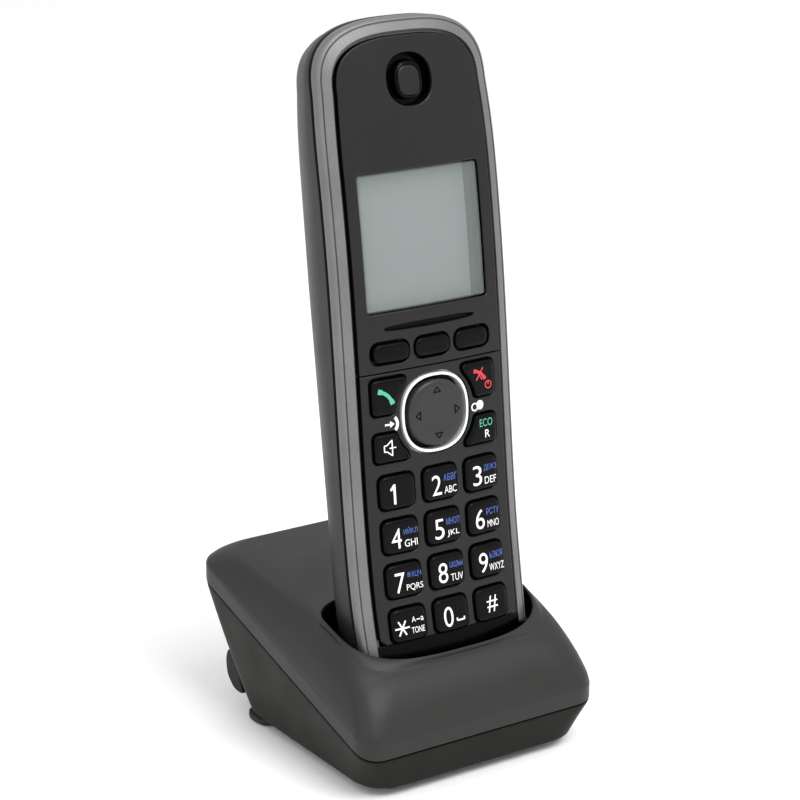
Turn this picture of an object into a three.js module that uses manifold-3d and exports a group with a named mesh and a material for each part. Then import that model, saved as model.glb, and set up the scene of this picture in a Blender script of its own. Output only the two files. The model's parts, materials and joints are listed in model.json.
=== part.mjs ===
// A cordless telephone handset standing in its charging cradle.
// Millimetres, +Z up. The keys face -Y, and the handset leans back towards +Y.
import * as THREE from 'three';
import { mergeVertices } from 'three/addons/utils/BufferGeometryUtils.js';
import Module from 'manifold-3d';

// ---------------------------------------------------------------- driving sizes
const HANDSET_WIDTH = 49;
const HANDSET_LENGTH = 158.7;
const HANDSET_DEPTH = 24;
const LEAN_DEGREES = 5.91;
const CRADLE_SHOULDER = 9.8; // cradle edge beyond each side of the handset
const CRADLE_LENGTH = 77.5; // front to back at the seam
const CRADLE_HEIGHT = 42.5; // at the back
const SEAM_SLOPE = 0.3;
const SEAM_FRONT_HEIGHT = 11;
const FOOT_HEIGHT = 2;
const WALL = 1.7;

// ---------------------------------------------------------------- fits
const GAP = 0.3; // between pieces that touch in use
const PANEL_GAP = 0.25; // panel edge to the silver frame
const CUP_CLEARANCE = 2.9; // cup wall to the handset's side
const CUP_FRONT_CLEARANCE = 3.0; // cup wall to the keypad face
const KEY_BEVEL = 0.4;
const KEY_FLANGE = 0.65; // keeps a key in the panel
const KEY_HEIGHT = 0.75; // above the panel
const SOFT_KEY_HEIGHT = 0.45;
const BATTERY_RADIUS = 5.25; // AAA cell
const BATTERY_LENGTH = 44.5;
const TOUCHING = 1e-4; // corners this close to a cutting plane count as on it
const SLIVER = 1e-6; // mm3; anything smaller is a leftover of a cut

// ---------------------------------------------------------------- handset proportions
const REFERENCE_WIDTH = 49; // the layout below is drawn at this width
const REFERENCE_LENGTH = 158.7; // and at this length
const U = HANDSET_WIDTH / REFERENCE_WIDTH;
const V = HANDSET_LENGTH / REFERENCE_LENGTH;
const HALF_WIDTH = HANDSET_WIDTH / 2;
const BOTTOM_END = -6 * V;
const TOP_END = BOTTOM_END + HANDSET_LENGTH;
const TOP_ROUND = 16.7 * V; // length of the rounded top end
const TOP_POWER = 2.85; // 2 would be an ellipse, more is squarer
const BOTTOM_ROUND = 8 * V;
const BOTTOM_POWER = 3;
const TOP_STEPS = 7;
const BOTTOM_STEPS = 5;
const BEND_KNOT = 10 * V; // the curved face is straight between knots
const BEND_CENTRE = 68.6 * V;
const FRAME_WIDTH = 3.4; // silver frame seen from the front
const FRAME_BACK = -4.1;
const PANEL_THICKNESS = 1.5;
const PANEL_SPLIT = 70.7 * V; // seam between display panel and keypad panel
const KEYPAD_BOTTOM = 4.9 * V;
const FRAME_BOTTOM = 2.5 * V;
const STRAIGHT_SIDE = 8; // depth of the case before its back rounds off
const BACK_ROUND = 11.2 * U; // sideways size of that rounding
const BACK_SLOPE = 0.06; // the back is this much out of parallel with the axis
const FOOT_SLOPE = 0.085; // and below and above that part, this much
const EAR_SLOPE = 0.035;
const EAR_SLOPE_LENGTH = 40 * V;
const SLOPE_START_DEPTH = HANDSET_DEPTH - 3.7;
const SLOPE_START = 20 * V;
const SLOPE_END = 90 * V;

const wasm = await Module();
wasm.setup();

// ---------------------------------------------------------------- small helpers
const mix = (from, to, share) => from + (to - from) * share;
const clamp = (value, low, high) => Math.min(high, Math.max(low, value));
const steps = (count) => Array.from({ length: count }, (_, k) => k);

function knotsBetween(low, high, spacing) {
  const first = Math.ceil((low + 0.01) / spacing);
  const last = Math.floor((high - 0.01) / spacing);
  return steps(Math.max(0, last - first + 1)).map((k) => (first + k) * spacing);
}

// Rounds the corners of a polygon listed anticlockwise.
function roundedPolygon(corners, radius, segments) {
  const outline = [];
  corners.forEach((corner, k) => {
    const before = corners[(k + corners.length - 1) % corners.length];
    const after = corners[(k + 1) % corners.length];
    const here = new THREE.Vector2(...corner);
    const back = new THREE.Vector2(...before).sub(here);
    const ahead = new THREE.Vector2(...after).sub(here);
    const reach = Math.min(radius, back.length() * 0.48, ahead.length() * 0.48);
    const start = here.clone().addScaledVector(back.normalize(), reach);
    const end = here.clone().addScaledVector(ahead.normalize(), reach);
    for (const k2 of steps(segments + 1)) {
      const t = k2 / segments;
      const one = start.clone().lerp(here, t);
      const two = here.clone().lerp(end, t);
      const point = one.lerp(two, t);
      outline.push([point.x, point.y]);
    }
  });
  return outline;
}

function rectangle(x0, x1, y0, y1) {
  return [[x0, y0], [x1, y0], [x1, y1], [x0, y1]];
}

function ellipse(radiusX, radiusY, count, power = 2, centreX = 0, centreY = 0) {
  return steps(count).map((k) => {
    const angle = (k / count) * Math.PI * 2;
    const c = Math.cos(angle);
    const s = Math.sin(angle);
    const x = Math.sign(c) * Math.abs(c) ** (2 / power);
    const y = Math.sign(s) * Math.abs(s) ** (2 / power);
    return [centreX + radiusX * x, centreY + radiusY * y];
  });
}

// Moves every side of an outline outwards by the same distance.
function grown(outline, distance) {
  return outline.map((point, k) => {
    const before = outline[(k + outline.length - 1) % outline.length];
    const after = outline[(k + 1) % outline.length];
    const alongX = after[0] - before[0];
    const alongY = after[1] - before[1];
    const length = Math.hypot(alongX, alongY) || 1;
    return [point[0] + (distance * alongY) / length, point[1] - (distance * alongX) / length];
  });
}

function capFaces(ring, offset, facingDown) {
  const contour = ring.map((p) => new THREE.Vector2(p[0], p[1]));
  const faces = THREE.ShapeUtils.triangulateShape(contour, []);
  return faces.flatMap(([a, b, c]) => (facingDown
    ? [offset + a, offset + c, offset + b]
    : [offset + a, offset + b, offset + c]));
}

// Skins a stack of outlines of equal point count, listed from the lowest to the highest.
function loft(rings) {
  const size = rings[0].length;
  const faces = [];
  for (const r of steps(rings.length - 1)) {
    for (const k of steps(size)) {
      const a = r * size + k;
      const b = r * size + ((k + 1) % size);
      faces.push(a, b, b + size, a, b + size, a + size);
    }
  }
  faces.push(...capFaces(rings[0], 0, true));
  faces.push(...capFaces(rings[rings.length - 1], (rings.length - 1) * size, false));
  const geometry = new THREE.BufferGeometry();
  geometry.setAttribute('position', new THREE.Float32BufferAttribute(rings.flat(2), 3));
  geometry.setIndex(faces);
  return geometry;
}

const level = (outline, height) => outline.map(([x, y]) => [x, y, height]);
const prism = (outline, low, high) => loft([level(outline, low), level(outline, high)]);

function box(x0, x1, y0, y1, z0, z1) {
  return prism(rectangle(x0, x1, y0, y1), z0, z1);
}

// ---------------------------------------------------------------- slicing and bending
function splitTriangle(corners, axis, knot) {
  const side = corners.map((p) => {
    const off = p[axis] - knot;
    return Math.abs(off) < TOUCHING ? 0 : Math.sign(off);
  });
  if (!side.includes(1) || !side.includes(-1)) {
    return [corners];
  }
  const below = [];
  const above = [];
  for (const k of steps(3)) {
    const next = (k + 1) % 3;
    if (side[k] <= 0) {
      below.push(corners[k]);
    }
    if (side[k] >= 0) {
      above.push(corners[k]);
    }
    if (side[k] * side[next] < 0) {
      const low = side[k] < 0 ? corners[k] : corners[next];
      const high = side[k] < 0 ? corners[next] : corners[k];
      const share = (knot - low[axis]) / (high[axis] - low[axis]);
      const cut = low.map((value, i) => mix(value, high[i], share));
      below.push(cut);
      above.push(cut);
    }
  }
  const fan = (polygon) => steps(polygon.length - 2).map((k) => [polygon[0], polygon[k + 1], polygon[k + 2]]);
  return [...fan(below), ...fan(above)];
}

function listTriangles(geometry) {
  const flat = geometry.index ? geometry.toNonIndexed() : geometry;
  const position = flat.attributes.position;
  const corner = (k) => [position.getX(k), position.getY(k), position.getZ(k)];
  return steps(position.count / 3).map((t) => [corner(3 * t), corner(3 * t + 1), corner(3 * t + 2)]);
}

// Cuts every triangle along the planes axis = knot, then moves each corner with the rule.
function bent(geometry, cuts, rule) {
  let triangles = listTriangles(geometry);
  for (const { axis, knots } of cuts) {
    for (const knot of knots) {
      triangles = triangles.flatMap((corners) => splitTriangle(corners, axis, knot));
    }
  }
  const moved = triangles.flat().flatMap((point) => rule(...point));
  const result = new THREE.BufferGeometry();
  result.setAttribute('position', new THREE.Float32BufferAttribute(moved, 3));
  return result;
}

// ---------------------------------------------------------------- solids
function solid(geometry) {
  const bare = geometry.clone();
  bare.deleteAttribute('normal');
  bare.deleteAttribute('uv');
  const merged = mergeVertices(bare, 1e-4);
  return new wasm.Manifold(new wasm.Mesh({
    numProp: 3,
    vertProperties: new Float32Array(merged.attributes.position.array),
    triVerts: new Uint32Array(merged.index.array),
  }));
}

function without(body, ...cutters) {
  return cutters.reduce((rest, cutter) => rest.subtract(cutter), body);
}

function joined(...bodies) {
  return bodies.reduce((sum, body) => sum.add(body));
}

// Drops the flat leftovers that a cut can leave where two walls meet.
function withoutSlivers(body) {
  return joined(...body.decompose().filter((part) => part.volume() > SLIVER));
}

function geometryOf(body) {
  const mesh = body.getMesh();
  const geometry = new THREE.BufferGeometry();
  geometry.setAttribute('position', new THREE.Float32BufferAttribute(mesh.vertProperties, 3));
  geometry.setIndex(new THREE.BufferAttribute(new Uint32Array(mesh.triVerts), 1));
  return geometry;
}

// ---------------------------------------------------------------- handset shape
// Handset pieces are drawn as u (right), v (up the handset) and w (out of the face).
function faceCurve(v) {
  const s = (v - BEND_CENTRE) / BEND_CENTRE;
  return -1.04 * s ** 2 - 3.27 * s ** 3 + 0.755 * s ** 4;
}

function betweenKnots(value, spacing, curve) {
  const knot = Math.floor(value / spacing);
  const share = value / spacing - knot;
  return mix(curve(knot * spacing), curve((knot + 1) * spacing), share);
}

const CROWN_KNOT = 12 * U;
const CROWN = { drop: 0.96, at: 20 * U }; // the face falls this far at that distance from its middle
const crownCurve = (u) => CROWN.drop * (u / CROWN.at) ** 2;
const faceHeight = (v) => betweenKnots(v, BEND_KNOT, faceCurve);
const crownDrop = (u) => betweenKnots(u, CROWN_KNOT, crownCurve);

function backDepth(v) {
  if (v < SLOPE_START) {
    return SLOPE_START_DEPTH - FOOT_SLOPE * (SLOPE_START - v);
  }
  const sloped = Math.min(v, SLOPE_END) - SLOPE_START;
  const above = clamp(v - SLOPE_END, 0, EAR_SLOPE_LENGTH);
  return SLOPE_START_DEPTH + BACK_SLOPE * sloped + EAR_SLOPE * above;
}

const FRONT_ZONE = -5; // in front of this the full face curve applies
const BACK_ZONE = -13; // behind this none of it does

function shapeRule(u, v, w) {
  const share = clamp((w - BACK_ZONE) / (FRONT_ZONE - BACK_ZONE), 0, 1);
  const stretch = (backDepth(v) - STRAIGHT_SIDE) / (HANDSET_DEPTH - STRAIGHT_SIDE);
  const deep = w < -STRAIGHT_SIDE ? -STRAIGHT_SIDE + (w + STRAIGHT_SIDE) * stretch : w;
  return [u, v, deep + (faceHeight(v) - crownDrop(u)) * share];
}

const V_KNOTS = knotsBetween(-20 * V, 170 * V, BEND_KNOT);
const U_KNOTS = knotsBetween(-40 * U, 40 * U, CROWN_KNOT);
const FACE_CUTS = [{ axis: 1, knots: V_KNOTS }, { axis: 0, knots: U_KNOTS }];
const CASE_CUTS = [
  { axis: 1, knots: V_KNOTS },
  { axis: 2, knots: [BACK_ZONE, -STRAIGHT_SIDE, FRONT_ZONE] },
];

const onFace = (geometry) => solid(bent(geometry, FACE_CUTS, shapeRule));
const inCase = (geometry) => solid(bent(geometry, CASE_CUTS, shapeRule));

// A small piece follows the face at its corners only.
const onFaceSmall = (geometry) => solid(bent(geometry, [], shapeRule));

// A flat piece behind the face keeps its shape and is only lowered to the face there.
const behindFace = (geometry, v) => solid(geometry.clone().translate(0, 0, faceHeight(v)));

// The sides are straight between these heights and draw in beyond them.
const SIDES = { low: 20 * V, high: 118 * V, lowDraw: 0.0013, highDraw: 0.002 };

function halfWidthAt(v) {
  const high = Math.max(0, v - SIDES.high);
  const low = Math.max(0, SIDES.low - v);
  return HALF_WIDTH - SIDES.highDraw * high ** 2 - SIDES.lowDraw * low ** 2;
}

// Outline of the handset seen from the front, shrunk by the inset, anticlockwise.
function handsetOutline(inset, low = BOTTOM_END + inset) {
  const topCentre = TOP_END - TOP_ROUND;
  const right = [];
  if (low <= BOTTOM_END + inset) {
    const lowCentre = BOTTOM_END + BOTTOM_ROUND;
    for (const k of steps(BOTTOM_STEPS - 1)) {
      const angle = ((k + 1) / BOTTOM_STEPS) * (Math.PI / 2);
      const u = (halfWidthAt(lowCentre) - inset) * Math.sin(angle) ** (2 / BOTTOM_POWER);
      right.push([u, lowCentre - (BOTTOM_ROUND - inset) * Math.cos(angle) ** (2 / BOTTOM_POWER)]);
    }
    right.push([halfWidthAt(lowCentre) - inset, lowCentre]);
  } else {
    right.push([halfWidthAt(low) - inset, low]);
  }
  for (const v of knotsBetween(right[right.length - 1][1] + 1, topCentre - 1, BEND_KNOT)) {
    right.push([halfWidthAt(v) - inset, v]);
  }
  for (const k of steps(TOP_STEPS)) {
    const angle = (k / TOP_STEPS) * (Math.PI / 2);
    const u = (halfWidthAt(topCentre) - inset) * Math.cos(angle) ** (2 / TOP_POWER);
    right.push([u, topCentre + (TOP_ROUND - inset) * Math.sin(angle) ** (2 / TOP_POWER)]);
  }
  const left = right.map(([u, v]) => [-u, v]).reverse();
  const ends = low <= BOTTOM_END + inset ? [[0, BOTTOM_END + inset]] : [];
  return [...ends, ...right, [0, TOP_END - inset], ...left];
}

// The part of that outline between two heights, for the keypad panel.
function bandOutline(inset, low, high, corner) {
  const heights = [low + corner, ...knotsBetween(low + corner, high, BEND_KNOT), high];
  const right = [[halfWidthAt(low) - inset - corner, low]];
  right.push(...heights.map((v) => [halfWidthAt(v) - inset, v]));
  return [...right, ...right.map(([u, v]) => [-u, v]).reverse()];
}

function caseRings(wall) {
  const rings = [90, 66, 40, 0].map((degrees) => {
    const angle = THREE.MathUtils.degToRad(degrees);
    const inset = BACK_ROUND * (1 - Math.cos(angle)) + wall;
    const depth = STRAIGHT_SIDE + (HANDSET_DEPTH - STRAIGHT_SIDE - wall) * Math.sin(angle);
    return level(handsetOutline(inset), -depth);
  });
  const front = Math.min(wall, 1.2);
  rings.push(level(handsetOutline(wall), -1 - front));
  rings.push(level(handsetOutline(wall + 0.9), -front));
  return rings;
}

// ---------------------------------------------------------------- handset back
// The battery bay runs along the back: a is along it, b is in from the outer face.
const backAngle = Math.atan(BACK_SLOPE);
const BAY = {
  doorHalf: 14.5 * U,
  doorLow: 4,
  doorHigh: BATTERY_LENGTH + 16,
  pocketLow: 6.4,
  pocketHigh: BATTERY_LENGTH + 12.6,
  frame: 1.6, // tray beyond the door at each end
  cellLow: 9.4,
  cellCentre: WALL + 0.45 + BATTERY_RADIUS,
  cellSide: BATTERY_RADIUS + GAP,
};
BAY.pocketHalf = BAY.cellSide + BATTERY_RADIUS + GAP;
BAY.pocketDeep = BAY.cellCentre + BATTERY_RADIUS + GAP;

function alongBack(geometry) {
  const turned = geometry.clone();
  // x stays, y becomes a, z becomes b
  turned.rotateX(-backAngle);
  turned.translate(0, SLOPE_START, -backDepth(SLOPE_START));
  return turned;
}

const bayBox = (half, a0, a1, b0, b1) => solid(alongBack(box(-half, half, a0, a1, b0, b1)));

function rearCover() {
  const outer = inCase(loft(caseRings(0)));
  const inner = inCase(loft(caseRings(WALL)));
  const legs = halfWidthAt(KEYPAD_BOTTOM) - FRAME_WIDTH - PANEL_GAP;
  const wide = HALF_WIDTH + 5;
  const openTop = FRAME_BACK - GAP;
  const high = TOP_END + 5;
  const chinTop = KEYPAD_BOTTOM - PANEL_GAP;
  const chinSide = FRAME_BOTTOM - PANEL_GAP;
  const face = inCase(box(-wide, wide, chinTop, high, openTop, 6));
  const right = inCase(box(legs, wide, chinSide, high, openTop, 6));
  const left = inCase(box(-wide, -legs, chinSide, high, openTop, 6));
  const rim = BAY.pocketHalf + 1;
  const tray = joined(
    bayBox(BAY.doorHalf + 2.4, BAY.doorLow - BAY.frame, BAY.doorHigh + BAY.frame, 1.2, 3.6),
    bayBox(rim, BAY.pocketLow - 1, BAY.pocketHigh + 1, 2, BAY.pocketDeep + 0.6),
  ).intersect(outer);
  const shell = joined(without(outer, inner, face, right, left), tray);
  return without(
    shell,
    bayBox(BAY.pocketHalf, BAY.pocketLow, BAY.pocketHigh, -2, BAY.pocketDeep),
    bayBox(BAY.doorHalf + GAP, BAY.doorLow - GAP, BAY.doorHigh + GAP, -4, WALL + 0.9),
    ...speakerSlots(),
    ...contactPockets(),
    ...screwHoles(),
  );
}

function batteryDoor() {
  const shell = without(inCase(loft(caseRings(0))), inCase(loft(caseRings(WALL - 0.2))));
  const plate = shell.intersect(bayBox(BAY.doorHalf, BAY.doorLow, BAY.doorHigh, -4, WALL + 0.6));
  const grooves = steps(4).map((k) => {
    const a = BAY.doorHigh - 5 - 2.2 * k;
    return bayBox(5 - 0.6 * k, a, a + 0.9, -1, 0.5);
  });
  return without(plate, ...grooves);
}

const SCREW_V = 128 * V;
const SCREW_U = 13 * U;
const BAY_TOP = SLOPE_START + BAY.doorHigh + BAY.frame;
const SPEAKER_V = mix(BAY_TOP, SCREW_V, 0.477); // between the battery bay and the screws

function speakerSlots() {
  return steps(5).map((k) => {
    const v = SPEAKER_V + (k - 2) * 3;
    const half = (8 - Math.abs(k - 2) * 1.4) * U;
    const depth = backDepth(v) + 1;
    return solid(prism(roundedPolygon(rectangle(-half, half, v, v + 1.3), 0.6, 2), -depth, -depth + 5));
  });
}

const CONTACT_U = 7 * U;
const CONTACT_W = -8;

function contactPockets() {
  return [-1, 1].map((side) => {
    const u = side * CONTACT_U;
    return solid(box(u - 2.6, u + 2.6, BOTTOM_END - 3, BOTTOM_END + 3, CONTACT_W - 2.2, CONTACT_W + 2.2));
  });
}

function handsetContact(side) {
  const u = side * CONTACT_U;
  const low = BOTTOM_END + 0.9;
  const plate = solid(box(u - 2.3, u + 2.3, low, low + 0.7, CONTACT_W - 1.9, CONTACT_W + 1.9));
  const tail = solid(box(u - 1.2, u + 1.2, BOTTOM_END + 1, BOTTOM_END + 8, CONTACT_W - 0.3, CONTACT_W + 0.3));
  return joined(plate, tail);
}

function screwHoles() {
  return [-1, 1].map((side) => {
    const outline = ellipse(1.9, 1.9, 12, 2, side * SCREW_U, SCREW_V);
    return solid(prism(outline, -backDepth(SCREW_V) - 2, -backDepth(SCREW_V) + 8));
  });
}

// Head and shank of a screw standing along z, head at the low end.
function screwSolid(x, y, low, headRadius, headHeight, shankRadius, length) {
  const head = ellipse(headRadius, headRadius, 12, 2, x, y);
  const shank = ellipse(shankRadius, shankRadius, 12, 2, x, y);
  const slot = solid(box(x - headRadius * 0.7, x + headRadius * 0.7, y - 0.25, y + 0.25, low - 1, low + 0.5));
  const body = solid(loft([
    level(head, low),
    level(head, low + headHeight),
    level(shank, low + headHeight),
    level(shank, low + length),
  ]));
  return without(body, slot);
}

function battery(side) {
  const profile = [
    [0, 0], [BATTERY_RADIUS - 0.4, 0], [BATTERY_RADIUS, 0.4],
    [BATTERY_RADIUS, BATTERY_LENGTH - 1.4], [BATTERY_RADIUS - 0.5, BATTERY_LENGTH - 1],
    [1.9, BATTERY_LENGTH - 1], [1.9, BATTERY_LENGTH], [0, BATTERY_LENGTH],
  ];
  const cell = new THREE.LatheGeometry(profile.map((p) => new THREE.Vector2(...p)), 20);
  if (side > 0) {
    cell.rotateZ(Math.PI);
    cell.translate(0, BATTERY_LENGTH, 0);
  }
  cell.translate(side * BAY.cellSide, BAY.cellLow, BAY.cellCentre);
  return solid(alongBack(cell));
}

function cellContact(u, a, halfU) {
  const b = BAY.cellCentre;
  return solid(alongBack(box(u - halfU, u + halfU, a, a + 0.5, b - 3.4, b + 3.4)));
}

// ---------------------------------------------------------------- handset front
function silverFrame() {
  const rings = [[0, FRAME_BACK], [0, -2.3], [0.4, -1.5], [FRAME_WIDTH * 0.94, -0.2]];
  const outline = (inset) => handsetOutline(inset, FRAME_BOTTOM);
  const body = onFace(loft(rings.map(([inset, w]) => level(outline(inset), w))));
  const inside = handsetOutline(FRAME_WIDTH, FRAME_BOTTOM - 5);
  return without(body, onFace(prism(inside, FRAME_BACK - 2, 3)));
}

const PANEL_INSET = FRAME_WIDTH + PANEL_GAP;
const WINDOW = { half: 17 * U, low: 84.9 * V, high: 117.4 * V };
const EAR = { v: 138.2 * V, radiusU: 6.5 * U, radiusV: 6.1 * V };
const ISLAND = { radiusU: 4.2 * U, radiusV: 4.3 * V };
const SOFT = { v: 75.3 * V, half: 4.8 * U, high: 2.3 * V, pitch: 11.5 * U };
const NAV = { v: 59 * V, ring: 9.75, inner: 8.85, pad: 8, ringPower: 2.4, padPower: 2.1 };

// An outline round the navigator: its radius at the reference sizes, and what it grows by.
function navOutline(radius, power, grow = 0) {
  return ellipse(radius * U + grow, radius * V + grow, 32, power, 0, NAV.v);
}

function panelRings(outline, back) {
  const wide = outline(PANEL_INSET);
  return [level(wide, back), level(wide, -0.25), level(outline(PANEL_INSET + 0.3), 0)];
}

function windowOutline(grow) {
  const frame = rectangle(-WINDOW.half, WINDOW.half, WINDOW.low, WINDOW.high);
  return grown(roundedPolygon(frame, 0.8, 2), grow);
}

function displayPanel() {
  const low = PANEL_SPLIT + 0.15;
  const plate = loft(panelRings((inset) => handsetOutline(inset, low), -PANEL_THICKNESS));
  const tray = roundedPolygon(rectangle(-17.2 * U, 17.2 * U, 72.6 * V, 78.2 * V), 1.6, 3);
  const slot = roundedPolygon(rectangle(-13.4 * U, 13.4 * U, 80.2 * V, 81.6 * V), 0.6, 2);
  const moat = ellipse(EAR.radiusU, EAR.radiusV, 24, 2.4, 0, EAR.v);
  const hole = ellipse(ISLAND.radiusU + GAP, ISLAND.radiusV + GAP, 20, 2.2, 0, EAR.v);
  return without(
    onFace(plate),
    onFace(prism(windowOutline(0), -3, 2)),
    onFace(prism(tray, -0.6, 2)),
    onFace(prism(slot, -0.6, 2)),
    onFace(prism(moat, -0.8, 2)),
    onFace(prism(hole, -3, 2)),
    ...[-1, 0, 1].map((k) => onFace(prism(grown(softOutline(k), GAP), -3, 2))),
  );
}

function keypadPanel() {
  const outline = (inset) => bandOutline(inset, KEYPAD_BOTTOM + inset - PANEL_INSET, PANEL_SPLIT - 0.15, 1.5);
  const ringHole = navOutline(NAV.ring, NAV.ringPower, GAP);
  const holes = [...Object.values(NUMBER_KEYS), ...Object.values(CORNER_KEYS)];
  return without(
    onFace(loft(panelRings(outline, -PANEL_THICKNESS))),
    onFace(prism(ringHole, -3, 2)),
    ...holes.map((key) => onFaceSmall(prism(grown(key.outline, GAP), -5, 4))),
  );
}

function displayLens() {
  return onFace(prism(windowOutline(-GAP), -1.3, -0.35));
}

function lcdModule() {
  const { half, low, high } = WINDOW;
  const glass = box(-half - 0.9, half + 0.9, low - 1, high + 1, -3.7, -2.2);
  const holder = box(-half - 2, half + 2, low - 1.8, high + 2.2, -5, -3.3);
  return joined(onFace(holder), onFace(glass));
}

function earpieceGrille() {
  const island = ellipse(ISLAND.radiusU, ISLAND.radiusV, 20, 2.2, 0, EAR.v);
  const top = grown(island, -0.7);
  const flange = grown(island, 1.2);
  const body = loft([
    level(flange, -2.4), level(flange, -1.8), level(island, -1.8),
    level(island, -0.5), level(top, -0.15),
  ]);
  const slot = roundedPolygon(rectangle(-1.8 * U, 1.8 * U, EAR.v - 0.5, EAR.v + 0.5), 0.45, 2);
  return without(onFaceSmall(body), onFaceSmall(prism(slot, -1.4, 1)));
}

// ---------------------------------------------------------------- keys
function keySolid(key) {
  const rim = grown(key.outline, KEY_FLANGE);
  const top = grown(key.outline, -KEY_BEVEL);
  return onFaceSmall(loft([
    level(rim, -PANEL_THICKNESS - GAP - 0.6),
    level(rim, -PANEL_THICKNESS - GAP),
    level(key.outline, -PANEL_THICKNESS - GAP),
    level(key.outline, key.height - KEY_BEVEL * 0.75),
    level(top, key.height),
  ]));
}

function keyBlock(u, v, halfU, halfV, radius) {
  return roundedPolygon(rectangle(u - halfU, u + halfU, v - halfV, v + halfV), radius, 3);
}

const GRID = { column: 12.2 * U, row: 10.87 * V, top: 41.65 * V, halfU: 4.75 * U, halfV: 4.05 * V };

function numberKeys() {
  const names = [['key_1', 'key_2', 'key_3'], ['key_4', 'key_5', 'key_6'],
    ['key_7', 'key_8', 'key_9'], ['key_star', 'key_0', 'key_hash']];
  const keys = {};
  names.forEach((row, r) => row.forEach((name, c) => {
    const u = (c - 1) * GRID.column;
    const v = GRID.top - GRID.row * r;
    keys[name] = { height: KEY_HEIGHT, outline: keyBlock(u, v, GRID.halfU, GRID.halfV, 2) };
  }));
  return keys;
}

// Keys beside the navigator: a block whose inner side follows the ring.
const RING_TO_KEY = 2.15; // leaves room for both flanges
const CORNER = { inner: 8.2 * U, outer: 17.6 * U };

function cornerKey(side, low, high) {
  const arc = steps(4).map((k) => {
    const v = mix(low, high, k / 3);
    const rise = (v - NAV.v) / (NAV.ring * V + RING_TO_KEY);
    const u = (NAV.ring * U + RING_TO_KEY) * Math.sqrt(Math.max(1 - rise ** 2, 0));
    return [Math.max(u, CORNER.inner), v];
  });
  const corners = [...arc.reverse(), [CORNER.outer, low], [CORNER.outer, high]];
  const turned = side > 0 ? corners : corners.map(([u, v]) => [-u, v]).reverse();
  return { height: KEY_HEIGHT, outline: roundedPolygon(turned, 1.4, 2) };
}

function cornerKeys() {
  return {
    key_talk: cornerKey(-1, 60.6 * V, 69.2 * V),
    key_off: cornerKey(1, 60.6 * V, 69.2 * V),
    key_speakerphone: cornerKey(-1, 49.1 * V, 56 * V),
    key_eco_recall: cornerKey(1, 49.1 * V, 56 * V),
  };
}

function softOutline(k) {
  return keyBlock(k * SOFT.pitch, SOFT.v, SOFT.half, SOFT.high, 2.1);
}

function softKeys() {
  const named = { key_soft_left: -1, key_soft_middle: 0, key_soft_right: 1 };
  return Object.fromEntries(Object.entries(named).map(([name, k]) => [
    name, { height: SOFT_KEY_HEIGHT, outline: softOutline(k) },
  ]));
}

const NUMBER_KEYS = numberKeys();
const CORNER_KEYS = cornerKeys();
const SOFT_KEYS = softKeys();

function navigatorRing() {
  const outline = (grow) => navOutline(NAV.ring, NAV.ringPower, grow);
  const ring = loft([
    level(outline(0.8), -2.4), level(outline(0.8), -1.8),
    level(outline(0), -1.8), level(outline(0), 0.15),
    level(outline(-0.3), 0.35),
  ]);
  const opening = navOutline(NAV.inner, NAV.ringPower);
  return without(onFaceSmall(ring), onFaceSmall(prism(opening, -3, 1)));
}

function navigatorPad() {
  const outline = (share) => navOutline(NAV.pad * share, NAV.padPower);
  const pad = loft([
    level(outline(1), -2.6), level(outline(1), 0.5), level(outline(0.9), 1.05),
    level(outline(0.55), 1.0), level(outline(0.3), 0.85),
  ]);
  return onFaceSmall(pad);
}

function navigatorPivot() {
  return onFaceSmall(prism(ellipse(2.6, 2.6, 16, 2, 0, NAV.v), -3.7, -2.9));
}

function keyMat() {
  const half = 18.4 * U;
  const sheet = roundedPolygon(rectangle(-half, half, 5.8 * V, 79.5 * V), 2, 2);
  const rule = (u, v, w) => [u, v, w + faceHeight(v)];
  const cuts = [{ axis: 1, knots: V_KNOTS }];
  return solid(bent(prism(sheet, -4.7, -4.1), cuts, rule));
}

// ---------------------------------------------------------------- handset inside
const BOARD = { back: -6, front: -5, low: 5.5 * V, high: 81 * V, half: 19 * U };

function mainBoard() {
  const outline = roundedPolygon(rectangle(-BOARD.half, BOARD.half, BOARD.low, BOARD.high), 2.5, 2);
  return solid(prism(outline, BOARD.back, BOARD.front));
}

function shieldCan() {
  const outline = roundedPolygon(rectangle(-12 * U, 12 * U, 65 * V, 79 * V), 1, 2);
  return solid(prism(outline, BOARD.back - GAP - 1.3, BOARD.back - GAP));
}

function roundCapsule(u, v, radius, low, high) {
  const outline = ellipse(radius, radius, 20, 2, u, v);
  const rim = ellipse(radius - 0.6, radius - 0.6, 20, 2, u, v);
  return loft([level(rim, low), level(outline, low + 0.6), level(outline, high - 0.6), level(rim, high)]);
}

// ---------------------------------------------------------------- cradle shape
const CRADLE_HALF = HALF_WIDTH + CRADLE_SHOULDER;
const FRONT = -3.5; // front of the seam
const BACK = FRONT + CRADLE_LENGTH;
const HANDSET_Y = 12.3;
const HANDSET_Z = 27.69;
const lean = THREE.MathUtils.degToRad(LEAN_DEGREES);
const Y_KNOT = 11;
const BAND = 4.6; // upright strip above the seam
const CUP_POWER = 3.1; // how square the cup's mouth is
const CUP_STEPS = 36;

const seamHeight = (y) => SEAM_FRONT_HEIGHT + SEAM_SLOPE * (y - FRONT);

function domeCurve(y) {
  const back = CRADLE_HEIGHT + 0.6;
  const rise = clamp((y - 5) / (BACK - 5), 0, 1);
  const steep = clamp((24 - y) / 20, 0, 1.6);
  return mix(33.8, back, rise) - 4.6 * steep ** 1.6;
}

const domeHeight = (y) => betweenKnots(y, Y_KNOT, domeCurve);

function cradleOutline(sideInset, frontInset, backInset, radius) {
  const half = CRADLE_HALF - sideInset;
  const corners = rectangle(-half, half, FRONT + frontInset, BACK - backInset);
  return roundedPolygon(corners, radius, 4);
}

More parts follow.
